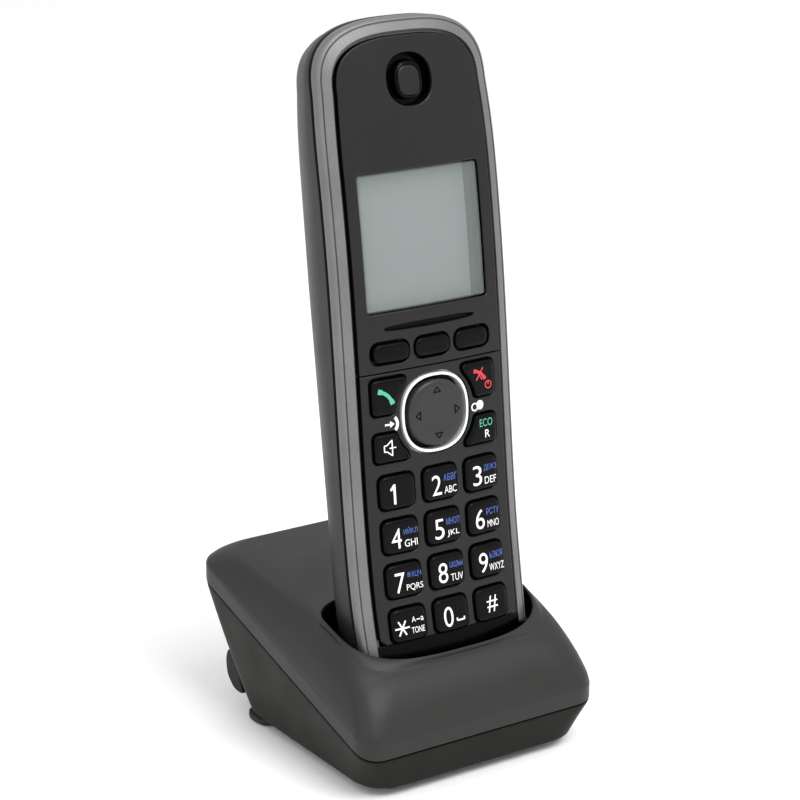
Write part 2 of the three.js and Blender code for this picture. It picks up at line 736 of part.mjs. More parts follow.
// Height 0 is the seam, 1 the top of the band and 2 the top of the cradle.
function upperRule(drop) {
  return (x, y, height) => {
    const seam = seamHeight(y) + 0.15;
    if (height <= 1) {
      return [x, y, seam + height * BAND - drop];
    }
    return [x, y, mix(seam + BAND, Math.max(domeHeight(y), seam + BAND + 1), height - 1) - drop];
  };
}

const FLANK = [[1, 0.03], [1.15, 0.1], [1.5, 0.4], [1.8, 0.7], [1.95, 0.88], [2, 1]];

function upperBody(wall, base) {
  const flat = [[base, 0], [0.86, 0]];
  const rings = [...flat, ...FLANK].map(([height, share]) => {
    const radius = mix(6, 11, share);
    return level(cradleOutline(5.7 * share + wall, 9.6 * share + wall, 3.4 * share + wall, radius), height);
  });
  const cuts = [{ axis: 1, knots: knotsBetween(FRONT - 8, BACK + 8, Y_KNOT) }];
  return solid(bent(loft(rings), cuts, upperRule(wall)));
}

const CUP = {
  half: HALF_WIDTH + CUP_CLEARANCE,
  front: 2.9 + CUP_FRONT_CLEARANCE,
  back: -backDepth(BOTTOM_END + 18) - 0.9,
  floor: BOTTOM_END - 0.4,
};

// The cup stands square to the handset: x across, y towards its back, z up its length.
function cupBody(wall, top) {
  const centre = -mix(CUP.back, CUP.front, 0.45);
  const outline = (taper) => steps(CUP_STEPS).map((k) => {
    const angle = (k / CUP_STEPS) * Math.PI * 2;
    const c = Math.cos(angle);
    const s = Math.sin(angle);
    const reach = s < 0 ? CUP.front + centre : -CUP.back - centre;
    const y = Math.sign(s) * Math.abs(s) ** (2 / CUP_POWER) * (reach - taper + wall);
    return [Math.sign(c) * Math.abs(c) ** (2 / CUP_POWER) * (CUP.half - taper + wall), centre + y];
  });
  const rings = [
    level(outline(1.4), CUP.floor - wall), level(outline(0.6), CUP.floor - wall + 1.6),
    level(outline(0), CUP.floor + 8), level(outline(0), top),
  ];
  return solid(standing(loft(rings)));
}

// Turns a piece drawn square to the handset into the cradle's upright frame.
function standing(geometry) {
  const turned = geometry.clone();
  turned.rotateX(-lean);
  turned.translate(0, HANDSET_Y, HANDSET_Z);
  return turned;
}

function cradleContactHoles() {
  return [-1, 1].map((side) => {
    const x = side * CONTACT_U;
    const y = -CONTACT_W;
    return solid(standing(box(x - 1.7, x + 1.7, y - 1.4, y + 1.4, CUP.floor - 4, CUP.floor + 0.2)));
  });
}

function cradleContact(side) {
  const x = side * CONTACT_U;
  const y = -CONTACT_W;
  const tip = CUP.floor + 1;
  const blade = prism(rectangle(x - 1.3, x + 1.3, y - 1, y + 1), CUP.floor - 6, tip - 0.6);
  const nose = loft([
    level(rectangle(x - 1.3, x + 1.3, y - 1, y + 1), tip - 0.6),
    level(rectangle(x - 1.3, x + 1.3, y - 0.4, y + 0.4), tip),
  ]);
  return joined(solid(standing(blade)), solid(standing(nose)));
}

function upperCase() {
  const outer = upperBody(0, 0);
  const shell = without(outer, upperBody(WALL, -1));
  const well = cupBody(WALL, 40).intersect(outer);
  return withoutSlivers(without(joined(shell, well), cupBody(0, 45), ...cradleContactHoles()));
}

// ---------------------------------------------------------------- cradle bottom
const BOTTOM = { inset: 3.3, front: 2.1, back: 14.6, radius: 9.5 };

function lowerBody(wall, top) {
  const share = (height) => {
    const rest = 1 - height;
    return level(cradleOutline(
      BOTTOM.inset * rest + wall,
      BOTTOM.front * rest + wall,
      BOTTOM.back * rest + wall,
      mix(6, BOTTOM.radius, rest),
    ), height);
  };
  const edge = wall + 1.2; // the foot's edge is rounded off by this much
  const { inset, front, back, radius } = BOTTOM;
  const foot = cradleOutline(inset + edge, front + edge, back + edge, radius - 1);
  const rings = [level(foot, 0), share(0.06), share(top)];
  const rule = (x, y, height) => [x, y, mix(FOOT_HEIGHT + wall, seamHeight(y) - 0.15, height)];
  return solid(bent(loft(rings), [{ axis: 1, knots: [20, 40] }], rule));
}

const JACK = { x: -14, z: 12, width: 9, height: 8.4, hole: 3.2 };
const WALL_SLOPE = BOTTOM.back / (seamHeight(BACK) - FOOT_HEIGHT);
const backWallY = (z) => BACK - BOTTOM.back + WALL_SLOPE * (z - FOOT_HEIGHT);

function cordHook(side) {
  const x = side * (CRADLE_HALF - BOTTOM.inset - 2.4);
  const profile = [
    [backWallY(5) - 1.2, 4.8], [backWallY(5) + 3.6, 4.8], [backWallY(5) + 7, 7.8],
    [backWallY(5) + 7.6, 12], [backWallY(5) + 6.6, 15], [backWallY(15) - 1.2, 15.8],
  ];
  const outline = roundedPolygon(profile, 1.4, 3);
  const hook = prism(outline, -1.6, 1.6);
  hook.rotateX(Math.PI / 2);
  hook.rotateZ(Math.PI / 2);
  hook.translate(x, 0, 0);
  return solid(hook);
}

function lowerCase() {
  const outer = lowerBody(0, 1);
  const hooks = [-1, 1].map(cordHook);
  const clearOfInside = hooks.map((hook) => hook.subtract(lowerBody(WALL * 0.5, 1)));
  const shell = joined(without(outer, lowerBody(WALL, 1.2)), ...clearOfInside);
  const inlet = ellipse(JACK.hole + 0.9, JACK.hole + 0.9, 16, 2, JACK.x, JACK.z);
  const tunnel = prism(inlet, -backWallY(JACK.z) - 6, -backWallY(JACK.z) + 8);
  tunnel.rotateX(Math.PI / 2);
  return without(shell, solid(tunnel), ...cradleScrewPlaces().map(([x, y]) => (
    solid(prism(ellipse(1.8, 1.8, 12, 2, x, y), FOOT_HEIGHT - 1, FOOT_HEIGHT + WALL + 1)))));
}

const cradleScrewPlaces = () => [-1, 1].flatMap((side) => [
  [side * 14 * U, FRONT + 17], [side * 23.5 * U, BACK - BOTTOM.back - 22],
]);

function footPlaces() {
  const side = CRADLE_HALF - BOTTOM.inset;
  return {
    foot_front_left: [-side + 9.5, FRONT + BOTTOM.front + 8.5, 4],
    foot_front_right: [side - 9.5, FRONT + BOTTOM.front + 8.5, 4],
    foot_rear_left: [-side + 4.2, BACK - BOTTOM.back - 6, 4.2],
    foot_rear_right: [side - 4.2, BACK - BOTTOM.back - 6, 4.2],
  };
}

function rubberFoot(x, y, radius) {
  const outline = ellipse(radius, radius + 0.8, 20, 2.6, x, y);
  return loft([level(grown(outline, -0.4), 0), level(outline, 0.4), level(outline, FOOT_HEIGHT - GAP)]);
}

function inletJack() {
  const y = backWallY(JACK.z - JACK.height / 2) - 2 * WALL - GAP;
  const shell = box(
    JACK.x - JACK.width / 2, JACK.x + JACK.width / 2, y - 11, y,
    JACK.z - JACK.height / 2, JACK.z + JACK.height / 2,
  );
  const round = (radius, from, to) => {
    const piece = prism(ellipse(radius, radius, 16, 2, JACK.x, JACK.z), -to, -from);
    return solid(piece.rotateX(Math.PI / 2));
  };
  return joined(without(solid(shell), round(JACK.hole, y - 8, y + 1)), round(1, y - 9, y - 2.5));
}

function cradleBoard() {
  const back = BACK - BOTTOM.back - 12;
  const outline = roundedPolygon(rectangle(-19 * U, 19 * U, FRONT + 24, back), 2, 2);
  return prism(outline, FOOT_HEIGHT + WALL + 1.2, FOOT_HEIGHT + WALL + 2.6);
}

// ---------------------------------------------------------------- assembly
const group = new THREE.Group();
group.name = 'cordless_handset_and_cradle';

const materials = {
  shell: () => new THREE.MeshStandardMaterial({ color: '#303031', roughness: 0.55, metalness: 0 }),
  lower: () => new THREE.MeshStandardMaterial({ color: '#2b2a28', roughness: 0.6, metalness: 0 }),
  face: () => new THREE.MeshStandardMaterial({ color: '#222224', roughness: 0.35, metalness: 0 }),
  keys: () => new THREE.MeshStandardMaterial({ color: '#101012', roughness: 0.25, metalness: 0 }),
  silver: () => new THREE.MeshStandardMaterial({ color: '#8b888c', roughness: 0.45, metalness: 0.7 }),
  ring: () => new THREE.MeshStandardMaterial({ color: '#d8d9da', roughness: 0.25, metalness: 0.6 }),
  lens: () => new THREE.MeshStandardMaterial({
    color: '#c9d2cf', roughness: 0.05, metalness: 0, transparent: true, opacity: 0.4,
  }),
  lcd: () => new THREE.MeshStandardMaterial({ color: '#8d9894', roughness: 0.4, metalness: 0 }),
  rubber: () => new THREE.MeshStandardMaterial({ color: '#1a1a1b', roughness: 0.9, metalness: 0 }),
  board: () => new THREE.MeshStandardMaterial({ color: '#1f5a35', roughness: 0.6, metalness: 0 }),
  metal: () => new THREE.MeshStandardMaterial({ color: '#b9b9b4', roughness: 0.3, metalness: 1 }),
  cell: () => new THREE.MeshStandardMaterial({ color: '#3d7f56', roughness: 0.4, metalness: 0.2 }),
};

function add(name, geometry, material) {
  const bare = geometry.index ? geometry.toNonIndexed() : geometry.clone();
  bare.deleteAttribute('normal');
  bare.deleteAttribute('uv');
  const tidy = mergeVertices(bare, 1e-5);
  tidy.computeVertexNormals();
  const mesh = new THREE.Mesh(tidy, materials[material]());
  mesh.name = name;
  group.add(mesh);
}

const addCradle = (name, body, material) => add(name, geometryOf(body), material);

// Handset pieces are drawn lying on their back and are stood up in the cradle here.
function addHandset(name, body, material) {
  const geometry = geometryOf(body);
  geometry.rotateX(Math.PI / 2 - lean);
  geometry.translate(0, HANDSET_Y, HANDSET_Z);
  add(name, geometry, material);
}

function addCradlePieces() {
  addCradle('cradle_upper_case', upperCase(), 'shell');
  addCradle('cradle_lower_case', lowerCase(), 'lower');
  for (const [name, place] of Object.entries(footPlaces())) {
    addCradle(name, solid(rubberFoot(...place)), 'rubber');
  }
  cradleScrewPlaces().forEach(([x, y], k) => {
    const low = FOOT_HEIGHT + 0.5;
    addCradle(`cradle_screw_${k + 1}`, screwSolid(x, y, low, 1.5, 1, 0.9, 4), 'metal');
  });
  addCradle('cradle_board', solid(cradleBoard()), 'board');
  addCradle('cradle_power_inlet', inletJack(), 'face');
  addCradle('cradle_contact_left', cradleContact(-1), 'metal');
  addCradle('cradle_contact_right', cradleContact(1), 'metal');
}

function addHandsetShell() {
  addHandset('handset_rear_cover', rearCover(), 'shell');
  addHandset('handset_silver_frame', silverFrame(), 'silver');
  addHandset('handset_display_panel', displayPanel(), 'face');
  addHandset('handset_keypad_panel', keypadPanel(), 'face');
  addHandset('handset_display_lens', displayLens(), 'lens');
  addHandset('handset_earpiece_grille', earpieceGrille(), 'face');
  addHandset('handset_navigator_ring', navigatorRing(), 'ring');
  addHandset('handset_battery_door', batteryDoor(), 'shell');
  [-1, 1].forEach((side, k) => {
    const low = -backDepth(SCREW_V) + 1.2;
    const screw = screwSolid(side * SCREW_U, SCREW_V, low, 1.5, 1, 0.9, 5);
    addHandset(`handset_screw_${k + 1}`, screw, 'metal');
  });
}

function addHandsetInside() {
  addHandset('handset_lcd_module', lcdModule(), 'lcd');
  addHandset('handset_key_mat', keyMat(), 'rubber');
  addHandset('handset_main_board', mainBoard(), 'board');
  addHandset('handset_shield_can', shieldCan(), 'metal');
  const receiver = roundCapsule(0, EAR.v, 6.5 * U, -7.8, -4.2);
  addHandset('handset_earpiece_receiver', behindFace(receiver, EAR.v), 'metal');
  const speakerBack = -backDepth(SPEAKER_V) + WALL + 0.9;
  const speaker = roundCapsule(0, SPEAKER_V, 10 * U, speakerBack, speakerBack + 4);
  addHandset('handset_loudspeaker', solid(speaker), 'metal');
  addHandset('handset_microphone', solid(roundCapsule(0, 1.5 * V, 2.2, -5.2, -2.6)), 'metal');
  addHandset('handset_contact_left', handsetContact(-1), 'metal');
  addHandset('handset_contact_right', handsetContact(1), 'metal');
  addHandset('battery_left', battery(-1), 'cell');
  addHandset('battery_right', battery(1), 'cell');
  const low = BAY.pocketLow + GAP;
  const high = BAY.pocketHigh - GAP - 0.5;
  addHandset('battery_contact_bridge', cellContact(0, low, BAY.pocketHalf - 0.6), 'metal');
  addHandset('battery_contact_left', cellContact(-BAY.cellSide, high, 4), 'metal');
  addHandset('battery_contact_right', cellContact(BAY.cellSide, high, 4), 'metal');
}

function addKeys() {
  const all = { ...NUMBER_KEYS, ...CORNER_KEYS, ...SOFT_KEYS };
  for (const [name, key] of Object.entries(all)) {
    addHandset(name, keySolid(key), 'keys');
  }
  addHandset('navigator_pivot', navigatorPivot(), 'rubber');
  addHandset('navigator_pad', navigatorPad(), 'keys');
}

addCradlePieces();
addHandsetShell();
addHandsetInside();
addKeys();

// The origin is on the table under the middle of the whole object.
const bounds = new THREE.Box3().setFromObject(group);
const middle = (bounds.min.y + bounds.max.y) / 2;
for (const mesh of group.children) {
  mesh.geometry.translate(0, -middle, 0);
}

export default group;
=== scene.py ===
# %% [markdown]
# # A cordless telephone handset standing in its charging cradle
# The CAD model gives every piece its place and says how it moves. This notebook gives the pieces
# their looks: soft edges, printed keys, paint, satin plastic and glass.
# We load the CAD model first, because each later cell takes its positions from it.

import json
import math

import bmesh
import bpy
import numpy as np
from mathutils import Matrix, Vector


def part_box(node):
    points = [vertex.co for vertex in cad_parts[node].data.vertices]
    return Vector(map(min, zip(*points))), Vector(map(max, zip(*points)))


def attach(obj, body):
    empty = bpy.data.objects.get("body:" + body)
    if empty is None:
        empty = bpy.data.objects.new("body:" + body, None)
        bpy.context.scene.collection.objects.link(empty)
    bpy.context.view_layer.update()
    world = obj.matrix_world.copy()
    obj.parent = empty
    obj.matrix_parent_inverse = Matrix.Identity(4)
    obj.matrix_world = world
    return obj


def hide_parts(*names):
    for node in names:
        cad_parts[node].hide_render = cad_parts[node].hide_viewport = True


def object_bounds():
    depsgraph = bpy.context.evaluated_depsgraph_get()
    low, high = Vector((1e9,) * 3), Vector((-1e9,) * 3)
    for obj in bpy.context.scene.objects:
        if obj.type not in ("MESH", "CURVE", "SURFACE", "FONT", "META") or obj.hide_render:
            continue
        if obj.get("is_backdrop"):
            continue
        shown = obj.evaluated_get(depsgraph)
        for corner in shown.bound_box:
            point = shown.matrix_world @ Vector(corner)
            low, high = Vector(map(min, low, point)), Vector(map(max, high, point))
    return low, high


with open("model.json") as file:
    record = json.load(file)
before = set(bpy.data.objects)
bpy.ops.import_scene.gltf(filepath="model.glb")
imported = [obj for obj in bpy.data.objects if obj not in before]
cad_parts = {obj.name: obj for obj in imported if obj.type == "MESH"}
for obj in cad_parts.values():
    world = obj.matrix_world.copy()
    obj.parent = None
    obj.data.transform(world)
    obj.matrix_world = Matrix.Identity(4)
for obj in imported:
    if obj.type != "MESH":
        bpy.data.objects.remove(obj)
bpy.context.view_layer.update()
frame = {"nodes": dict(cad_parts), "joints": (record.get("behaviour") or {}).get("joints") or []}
MM = 0.001

# %% [markdown]
# ## Two drawing boards
# The handset leans back in its cradle. Drawing it leaning would be awkward, so we draw it flat:
# u runs to the right, v up the handset and w out of its face, in millimetres.
# The direction of v is the direction in which the handset lifts out, so we read it from that
# joint. The flat circuit board inside tells us where the drawing's zero point is.

# %% The handset's drawing board
LIFT = next(j for j in frame["joints"] if j["name"] == "handset_lift")
UP = np.array(LIFT["axis"], float) / np.linalg.norm(LIFT["axis"])
OUT = np.array([0, -UP[2], UP[1]])
BOARD_LOW_V, BOARD_FRONT_W = 5.5, -5.0


def node_points(name):
    return np.array([v.co for v in frame["nodes"][name].data.vertices], float) / MM


board = node_points("handset_main_board")
ORIGIN = UP * ((board @ UP).min() - BOARD_LOW_V) + OUT * ((board @ OUT).max() - BOARD_FRONT_W)
STAND = Matrix.Scale(MM, 4) @ Matrix([
    [1, 0, 0, 0],
    [0, UP[1], OUT[1], ORIGIN[1]],
    [0, UP[2], OUT[2], ORIGIN[2]],
    [0, 0, 0, 1],
])
print("zero point of the handset drawing, mm:", ORIGIN.round(2))


# %% [markdown]
# ## Small helpers for drawing
# Moulded pieces are mostly outlines stacked on each other. `stack` skins such a pile of outlines
# and closes both ends. `combine` cuts one closed shape out of another with a Boolean.

# %% Outlines
def rounded(corners, radius, segments=8, spacing=None):
    """Rounds the corners of an anticlockwise polygon, and cuts long sides into short ones."""
    corners = [np.array(c, float) for c in corners]
    points = []
    for k, here in enumerate(corners):
        back, ahead = corners[k - 1] - here, corners[(k + 1) % len(corners)] - here
        reach = min(radius, np.linalg.norm(back) * 0.48, np.linalg.norm(ahead) * 0.48)
        start = here + back / np.linalg.norm(back) * reach
        end = here + ahead / np.linalg.norm(ahead) * reach
        for t in np.linspace(0, 1, segments + 1):
            points.append((1 - t) ** 2 * start + 2 * t * (1 - t) * here + t * t * end)
    return refined(np.array(points), spacing) if spacing else np.array(points)


def refined(points, spacing):
    made = []
    for k, here in enumerate(points):
        step = points[(k + 1) % len(points)] - here
        count = max(1, int(np.ceil(np.linalg.norm(step) / spacing)))
        made += [here + step * i / count for i in range(count)]
    return np.array(made)


def rectangle(x0, x1, y0, y1):
    return [(x0, y0), (x1, y0), (x1, y1), (x0, y1)]


def pill(u, v, half_u, half_v, radius, segments=8):
    return rounded(rectangle(u - half_u, u + half_u, v - half_v, v + half_v), radius, segments)


def oval(radius_u, radius_v, power=2.0, u=0.0, v=0.0, count=64):
    a = np.arange(count) / count * 2 * np.pi
    c, s = np.cos(a), np.sin(a)
    x = np.sign(c) * np.abs(c) ** (2 / power)
    y = np.sign(s) * np.abs(s) ** (2 / power)
    return np.stack([u + radius_u * x, v + radius_v * y], 1)


def grown(outline, distance):
    """Moves each side of an anticlockwise outline outwards."""
    along = np.roll(outline, -1, 0) - np.roll(outline, 1, 0)
    length = np.maximum(np.linalg.norm(along, axis=1, keepdims=True), 1e-9)
    return outline + distance * np.stack([along[:, 1], -along[:, 0]], 1) / length


def stroke(points, width):
    """The outline of a pen stroke through the points, with square ends."""
    p = np.array(points, float)
    along = np.gradient(p, axis=0)
    along /= np.linalg.norm(along, axis=1, keepdims=True)
    side = np.stack([along[:, 1], -along[:, 0]], 1) * width / 2
    return np.concatenate([p + side, (p - side)[::-1]])


# %% Solids from outlines
def make_object(name, mesh):
    piece = bpy.data.objects.new(name, mesh)
    bpy.context.scene.collection.objects.link(piece)
    return piece


def from_faces(name, points, faces):
    mesh = bpy.data.meshes.new(name)
    mesh.from_pydata([tuple(p) for p in points], [], faces)
    mesh.validate()
    return make_object(name, mesh)


def skin(name, rings, start_cap=True, end_cap=True, endless=False):
    """Joins rings of 3-D points, in order; an endless skin runs from the last ring to the first."""
    count, size = len(rings), len(rings[0])
    faces = []
    for r in range(count if endless else count - 1):
        here, there = r * size, (r + 1) % count * size
        for k in range(size):
            beside = (k + 1) % size
            faces.append((here + k, here + beside, there + beside, there + k))
    if start_cap and not endless:
        faces.append(tuple(range(size))[::-1])
    if end_cap and not endless:
        faces.append(tuple(range((count - 1) * size, count * size)))
    return from_faces(name, np.concatenate(rings), faces)


def stack(name, rings, endless=False):
    """A closed solid skinned over outlines (each with its height), lowest first."""
    return skin(name, [np.column_stack([o, np.full(len(o), h)]) for o, h in rings], endless=endless)


def prism(name, outline, low, high):
    return stack(name, [(outline, low), (outline, high)])


def box(name, u0, u1, v0, v1, w0, w1):
    return prism(name, np.array(rectangle(u0, u1, v0, v1), float), w0, w1)


def combine(body, tools, operation="DIFFERENCE", solver="MANIFOLD"):
    """Cuts the tools out of the body, or adds them to it, and removes them."""
    for tool in tools:
        step = body.modifiers.new("combine", "BOOLEAN")
        step.operation, step.object, step.solver = operation, tool, solver
        bake_modifiers(body)
        bpy.data.objects.remove(tool)
    return body


def bake_modifiers(piece):
    graph = bpy.context.evaluated_depsgraph_get()
    mesh = bpy.data.meshes.new_from_object(piece.evaluated_get(graph))
    piece.modifiers.clear()
    piece.data = mesh
    return piece


def merged(name, pieces):
    """Puts several closed shapes in one mesh; their material slots come along."""
    with bpy.context.temp_override(
        active_object=pieces[0], object=pieces[0], selected_editable_objects=pieces, selected_objects=pieces
    ):
        bpy.ops.object.join()
    pieces[0].name = name
    return pieces[0]


def cut_into_strips(piece, step_u, step_v):
    """Cuts the faces along a grid, so that a later bend has points to move."""
    bm = bmesh.new()
    bm.from_mesh(piece.data)
    for axis, step in ((0, step_u), (1, step_v)):
        values = [v.co[axis] for v in bm.verts]
        normal = Vector((1, 0, 0)) if axis == 0 else Vector((0, 1, 0))
        for k in range(math.floor(min(values) / step) + 1, math.ceil(max(values) / step)):
            everything = bm.verts[:] + bm.edges[:] + bm.faces[:]
            bmesh.ops.bisect_plane(bm, geom=everything, dist=1e-5, plane_co=normal * (k * step),
                                   plane_no=normal)
    bm.to_mesh(piece.data)
    bm.free()
    return piece


def outward(piece, merge=1e-5):
    bm = bmesh.new()
    bm.from_mesh(piece.data)
    bmesh.ops.remove_doubles(bm, verts=bm.verts, dist=merge)
    bmesh.ops.recalc_face_normals(bm, faces=bm.faces)
    bm.to_mesh(piece.data)
    bm.free()
    return piece


print("drawing helpers are ready")

# %% [markdown]
# ## The rule that bends the face
# The face of the handset isn't flat. Seen from the side it curves away at the foot and at the
# earpiece, and across its width it has a slight crown. We draw every front piece flat and then let
# one Geometry Nodes tree bend them all, so that neighbours can't fail to match.
# Only the front follows the rule in full. Deeper than 13 mm the case isn't moved by it, and
# there the same tree makes the case thicker towards the top.

# %% Build the bending tree
BEND = {"Middle": 68.6, "Square": -1.04, "Cube": -3.27, "Fourth": 0.755, "Crown": -0.0024}
DEPTH = {"Foot depth": 20.3, "Drawn depth": 24.0, "Straight side": 8.0}
BACK_SLOPES = ((-20.0, 20.0, 0.085), (20.0, 90.0, 0.06), (90.0, 130.0, 0.035))  # from v, to v, mm per mm
FULL_BEND, NO_BEND = 5.0, 13.0  # down to the first depth a point follows the face, past the second not


def new_tree(name, numbers):
    tree = bpy.data.node_groups.new(name, "GeometryNodeTree")
    tree.interface.new_socket(name="Geometry", in_out="INPUT", socket_type="NodeSocketGeometry")
    for label, value in numbers.items():
        socket = tree.interface.new_socket(name=label, in_out="INPUT", socket_type="NodeSocketFloat")
        socket.default_value = value
    tree.interface.new_socket(name="Finish", in_out="INPUT", socket_type="NodeSocketMaterial")
    tree.interface.new_socket(name="Geometry", in_out="OUTPUT", socket_type="NodeSocketGeometry")
    given = tree.nodes.new("NodeGroupInput")
    return tree, given


def link(tree, source, target):
    tree.links.new(source, target)


def calculator(tree):
    """Gives a function that adds a Math node and returns its result."""

    def calculate(operation, *values):
        node = tree.nodes.new("ShaderNodeMath")
        node.operation = operation
        for socket, value in zip(node.inputs, values):
            if isinstance(value, (int, float)):
                socket.default_value = value
            else:
                link(tree, value, socket)
        return node.outputs[0]

    return calculate


def finish_tree(tree, geometry, given):
    realize = tree.nodes.new("GeometryNodeRealizeInstances")
    paint = tree.nodes.new("GeometryNodeSetMaterial")
    result = tree.nodes.new("NodeGroupOutput")
    link(tree, geometry, realize.inputs[0])
    link(tree, realize.outputs[0], paint.inputs["Geometry"])
    link(tree, given.outputs["Finish"], paint.inputs["Material"])
    link(tree, paint.outputs[0], result.inputs[0])
    return tree


def bending_tree():
    tree, given = new_tree("Bend to the face", {**BEND, **DEPTH})
    calc = calculator(tree)
    part = tree.nodes.new("ShaderNodeSeparateXYZ")
    link(tree, tree.nodes.new("GeometryNodeInputPosition").outputs[0], part.inputs[0])
    u, v, w = part.outputs
    s = calc("DIVIDE", calc("SUBTRACT", v, given.outputs["Middle"]), given.outputs["Middle"])
    height = calc("MULTIPLY", given.outputs["Crown"], calc("MULTIPLY", u, u))
    power = s
    for label in ("Square", "Cube", "Fourth"):
        power = calc("MULTIPLY", power, s)
        height = calc("ADD", height, calc("MULTIPLY", given.outputs[label], power))
    share = calc("DIVIDE", calc("ADD", w, NO_BEND), NO_BEND - FULL_BEND)
    share = calc("MINIMUM", calc("MAXIMUM", share, 0.0), 1.0)
    depth = given.outputs["Foot depth"]
    for start, end, slope in BACK_SLOPES:
        held = calc("MINIMUM", calc("MAXIMUM", v, start), end)
        zero = end if start < 0 else start
        depth = calc("ADD", depth, calc("MULTIPLY", calc("SUBTRACT", held, zero), slope))
    side = given.outputs["Straight side"]
    drawn = calc("SUBTRACT", given.outputs["Drawn depth"], side)
    stretch = calc("DIVIDE", calc("SUBTRACT", depth, side), drawn)
    shallow = calc("MAXIMUM", w, calc("MULTIPLY", side, -1.0))
    deep = calc("MULTIPLY", calc("MINIMUM", calc("ADD", w, side), 0.0), stretch)
    new_w = calc("ADD", calc("ADD", shallow, deep), calc("MULTIPLY", height, share))
    place = tree.nodes.new("ShaderNodeCombineXYZ")
    for socket, value in zip(place.inputs, (u, v, new_w)):
        link(tree, value, socket)
    move = tree.nodes.new("GeometryNodeSetPosition")
    link(tree, given.outputs["Geometry"], move.inputs["Geometry"])
    link(tree, place.outputs[0], move.inputs["Position"])
    return finish_tree(tree, move.outputs[0], given)


BENDER = bending_tree()


def with_tree(piece, tree, finish, **values):
    """Runs a Geometry Nodes tree on a piece and keeps the result as its mesh."""
    step = piece.modifiers.new(tree.name, "NODES")
    step.node_group = tree
    sockets = {s.name: s.identifier for s in tree.interface.items_tree if s.in_out == "INPUT"}
    for label, value in values.items():
        step[sockets[label]] = value
    if finish is not None:
        step[sockets["Finish"]] = finish
    return bake_modifiers(piece)


print("bending tree:", len(BENDER.nodes), "nodes")


# %% [markdown]
# ## Where the case ends
# The outline of the handset is the one curve that everything follows: the case, the silver frame
# and both panels. Its sides draw in a little towards the earpiece, and the top is a
# superellipse, which is rounder than a square and squarer than a circle.

# %% The handset's outline
HALF_WIDTH, LOW_END, HIGH_END = 24.5, -6.0, 152.7
TOP_ROUND, TOP_POWER, FOOT_ROUND, FOOT_POWER = 16.7, 2.85, 8.0, 3.0
SIDE_COUNT = 54


def half_width(v):
    return HALF_WIDTH - 0.002 * np.maximum(0, v - 118) ** 2 - 0.0013 * np.maximum(0, 20 - v) ** 2


def even_angles(a, b, power, count):
    """Angles that space points evenly along a quarter of a superellipse."""
    dense = np.linspace(0, np.pi / 2, 2000)
    x, y = a * np.cos(dense) ** (2 / power), b * np.sin(dense) ** (2 / power)
    length = np.concatenate([[0], np.cumsum(np.hypot(np.diff(x), np.diff(y)))])
    return np.interp(np.linspace(0, length[-1], count + 1), length, dense)


TOP_ANGLES = even_angles(22.6, TOP_ROUND, TOP_POWER, 26)
FOOT_ANGLES = even_angles(24.0, FOOT_ROUND, FOOT_POWER, 20)


def right_side(inset, low=None):
    """Points from the foot up the right side to the middle of the top."""
    centre = HIGH_END - TOP_ROUND
    if low is None:
        low = LOW_END + max(FOOT_ROUND, inset + 3)
        c = np.cos(FOOT_ANGLES) ** (2 / FOOT_POWER)
        s = np.sin(FOOT_ANGLES) ** (2 / FOOT_POWER)
        foot = np.stack([(half_width(low) - inset) * c, low - (low - LOW_END - inset) * s], 1)[::-1]
    else:
        foot = np.array([[half_width(low) - inset, low]])
    v = np.linspace(low, centre, SIDE_COUNT)[1:-1]
    side = np.stack([half_width(v) - inset, v], 1)
    c, s = np.cos(TOP_ANGLES) ** (2 / TOP_POWER), np.sin(TOP_ANGLES) ** (2 / TOP_POWER)
    top = np.stack([(half_width(centre) - inset) * c, centre + (TOP_ROUND - inset) * s], 1)
    return np.concatenate([foot, side, top])


def case_outline(inset, low=None):
    right = right_side(inset, low)
    left = right[::-1] * [-1, 1]
    closed = np.concatenate([right[:-1], left])
    return closed if low is not None else closed[:-1]


print("points round the case:", len(case_outline(0)))

# %% [markdown]
# ## Finishes
# Real plastic is never one flat colour. A moulded case has a fine spark-eroded grain, and its
# gloss changes where hands have been. Its edges are painted a little lighter, in patches, as a painted
# highlight where they catch the light. One function mixes those things, and each finish calls it
# with its own colour and grain size. The noise reads Object coordinates in metres, so a scale of
# 4000 is a grain of a quarter of a millimetre.

# %% A maker of moulded finishes
FINISH = {}


def linear(r, g, b):
    """Turns a colour as read from a colour chart (0-255) into the renderer's own numbers."""
    out = []
    for c in (r, g, b):
        c /= 255
        out.append(c / 12.92 if c <= 0.04045 else ((c + 0.055) / 1.055) ** 2.4)
    return (*out, 1.0)


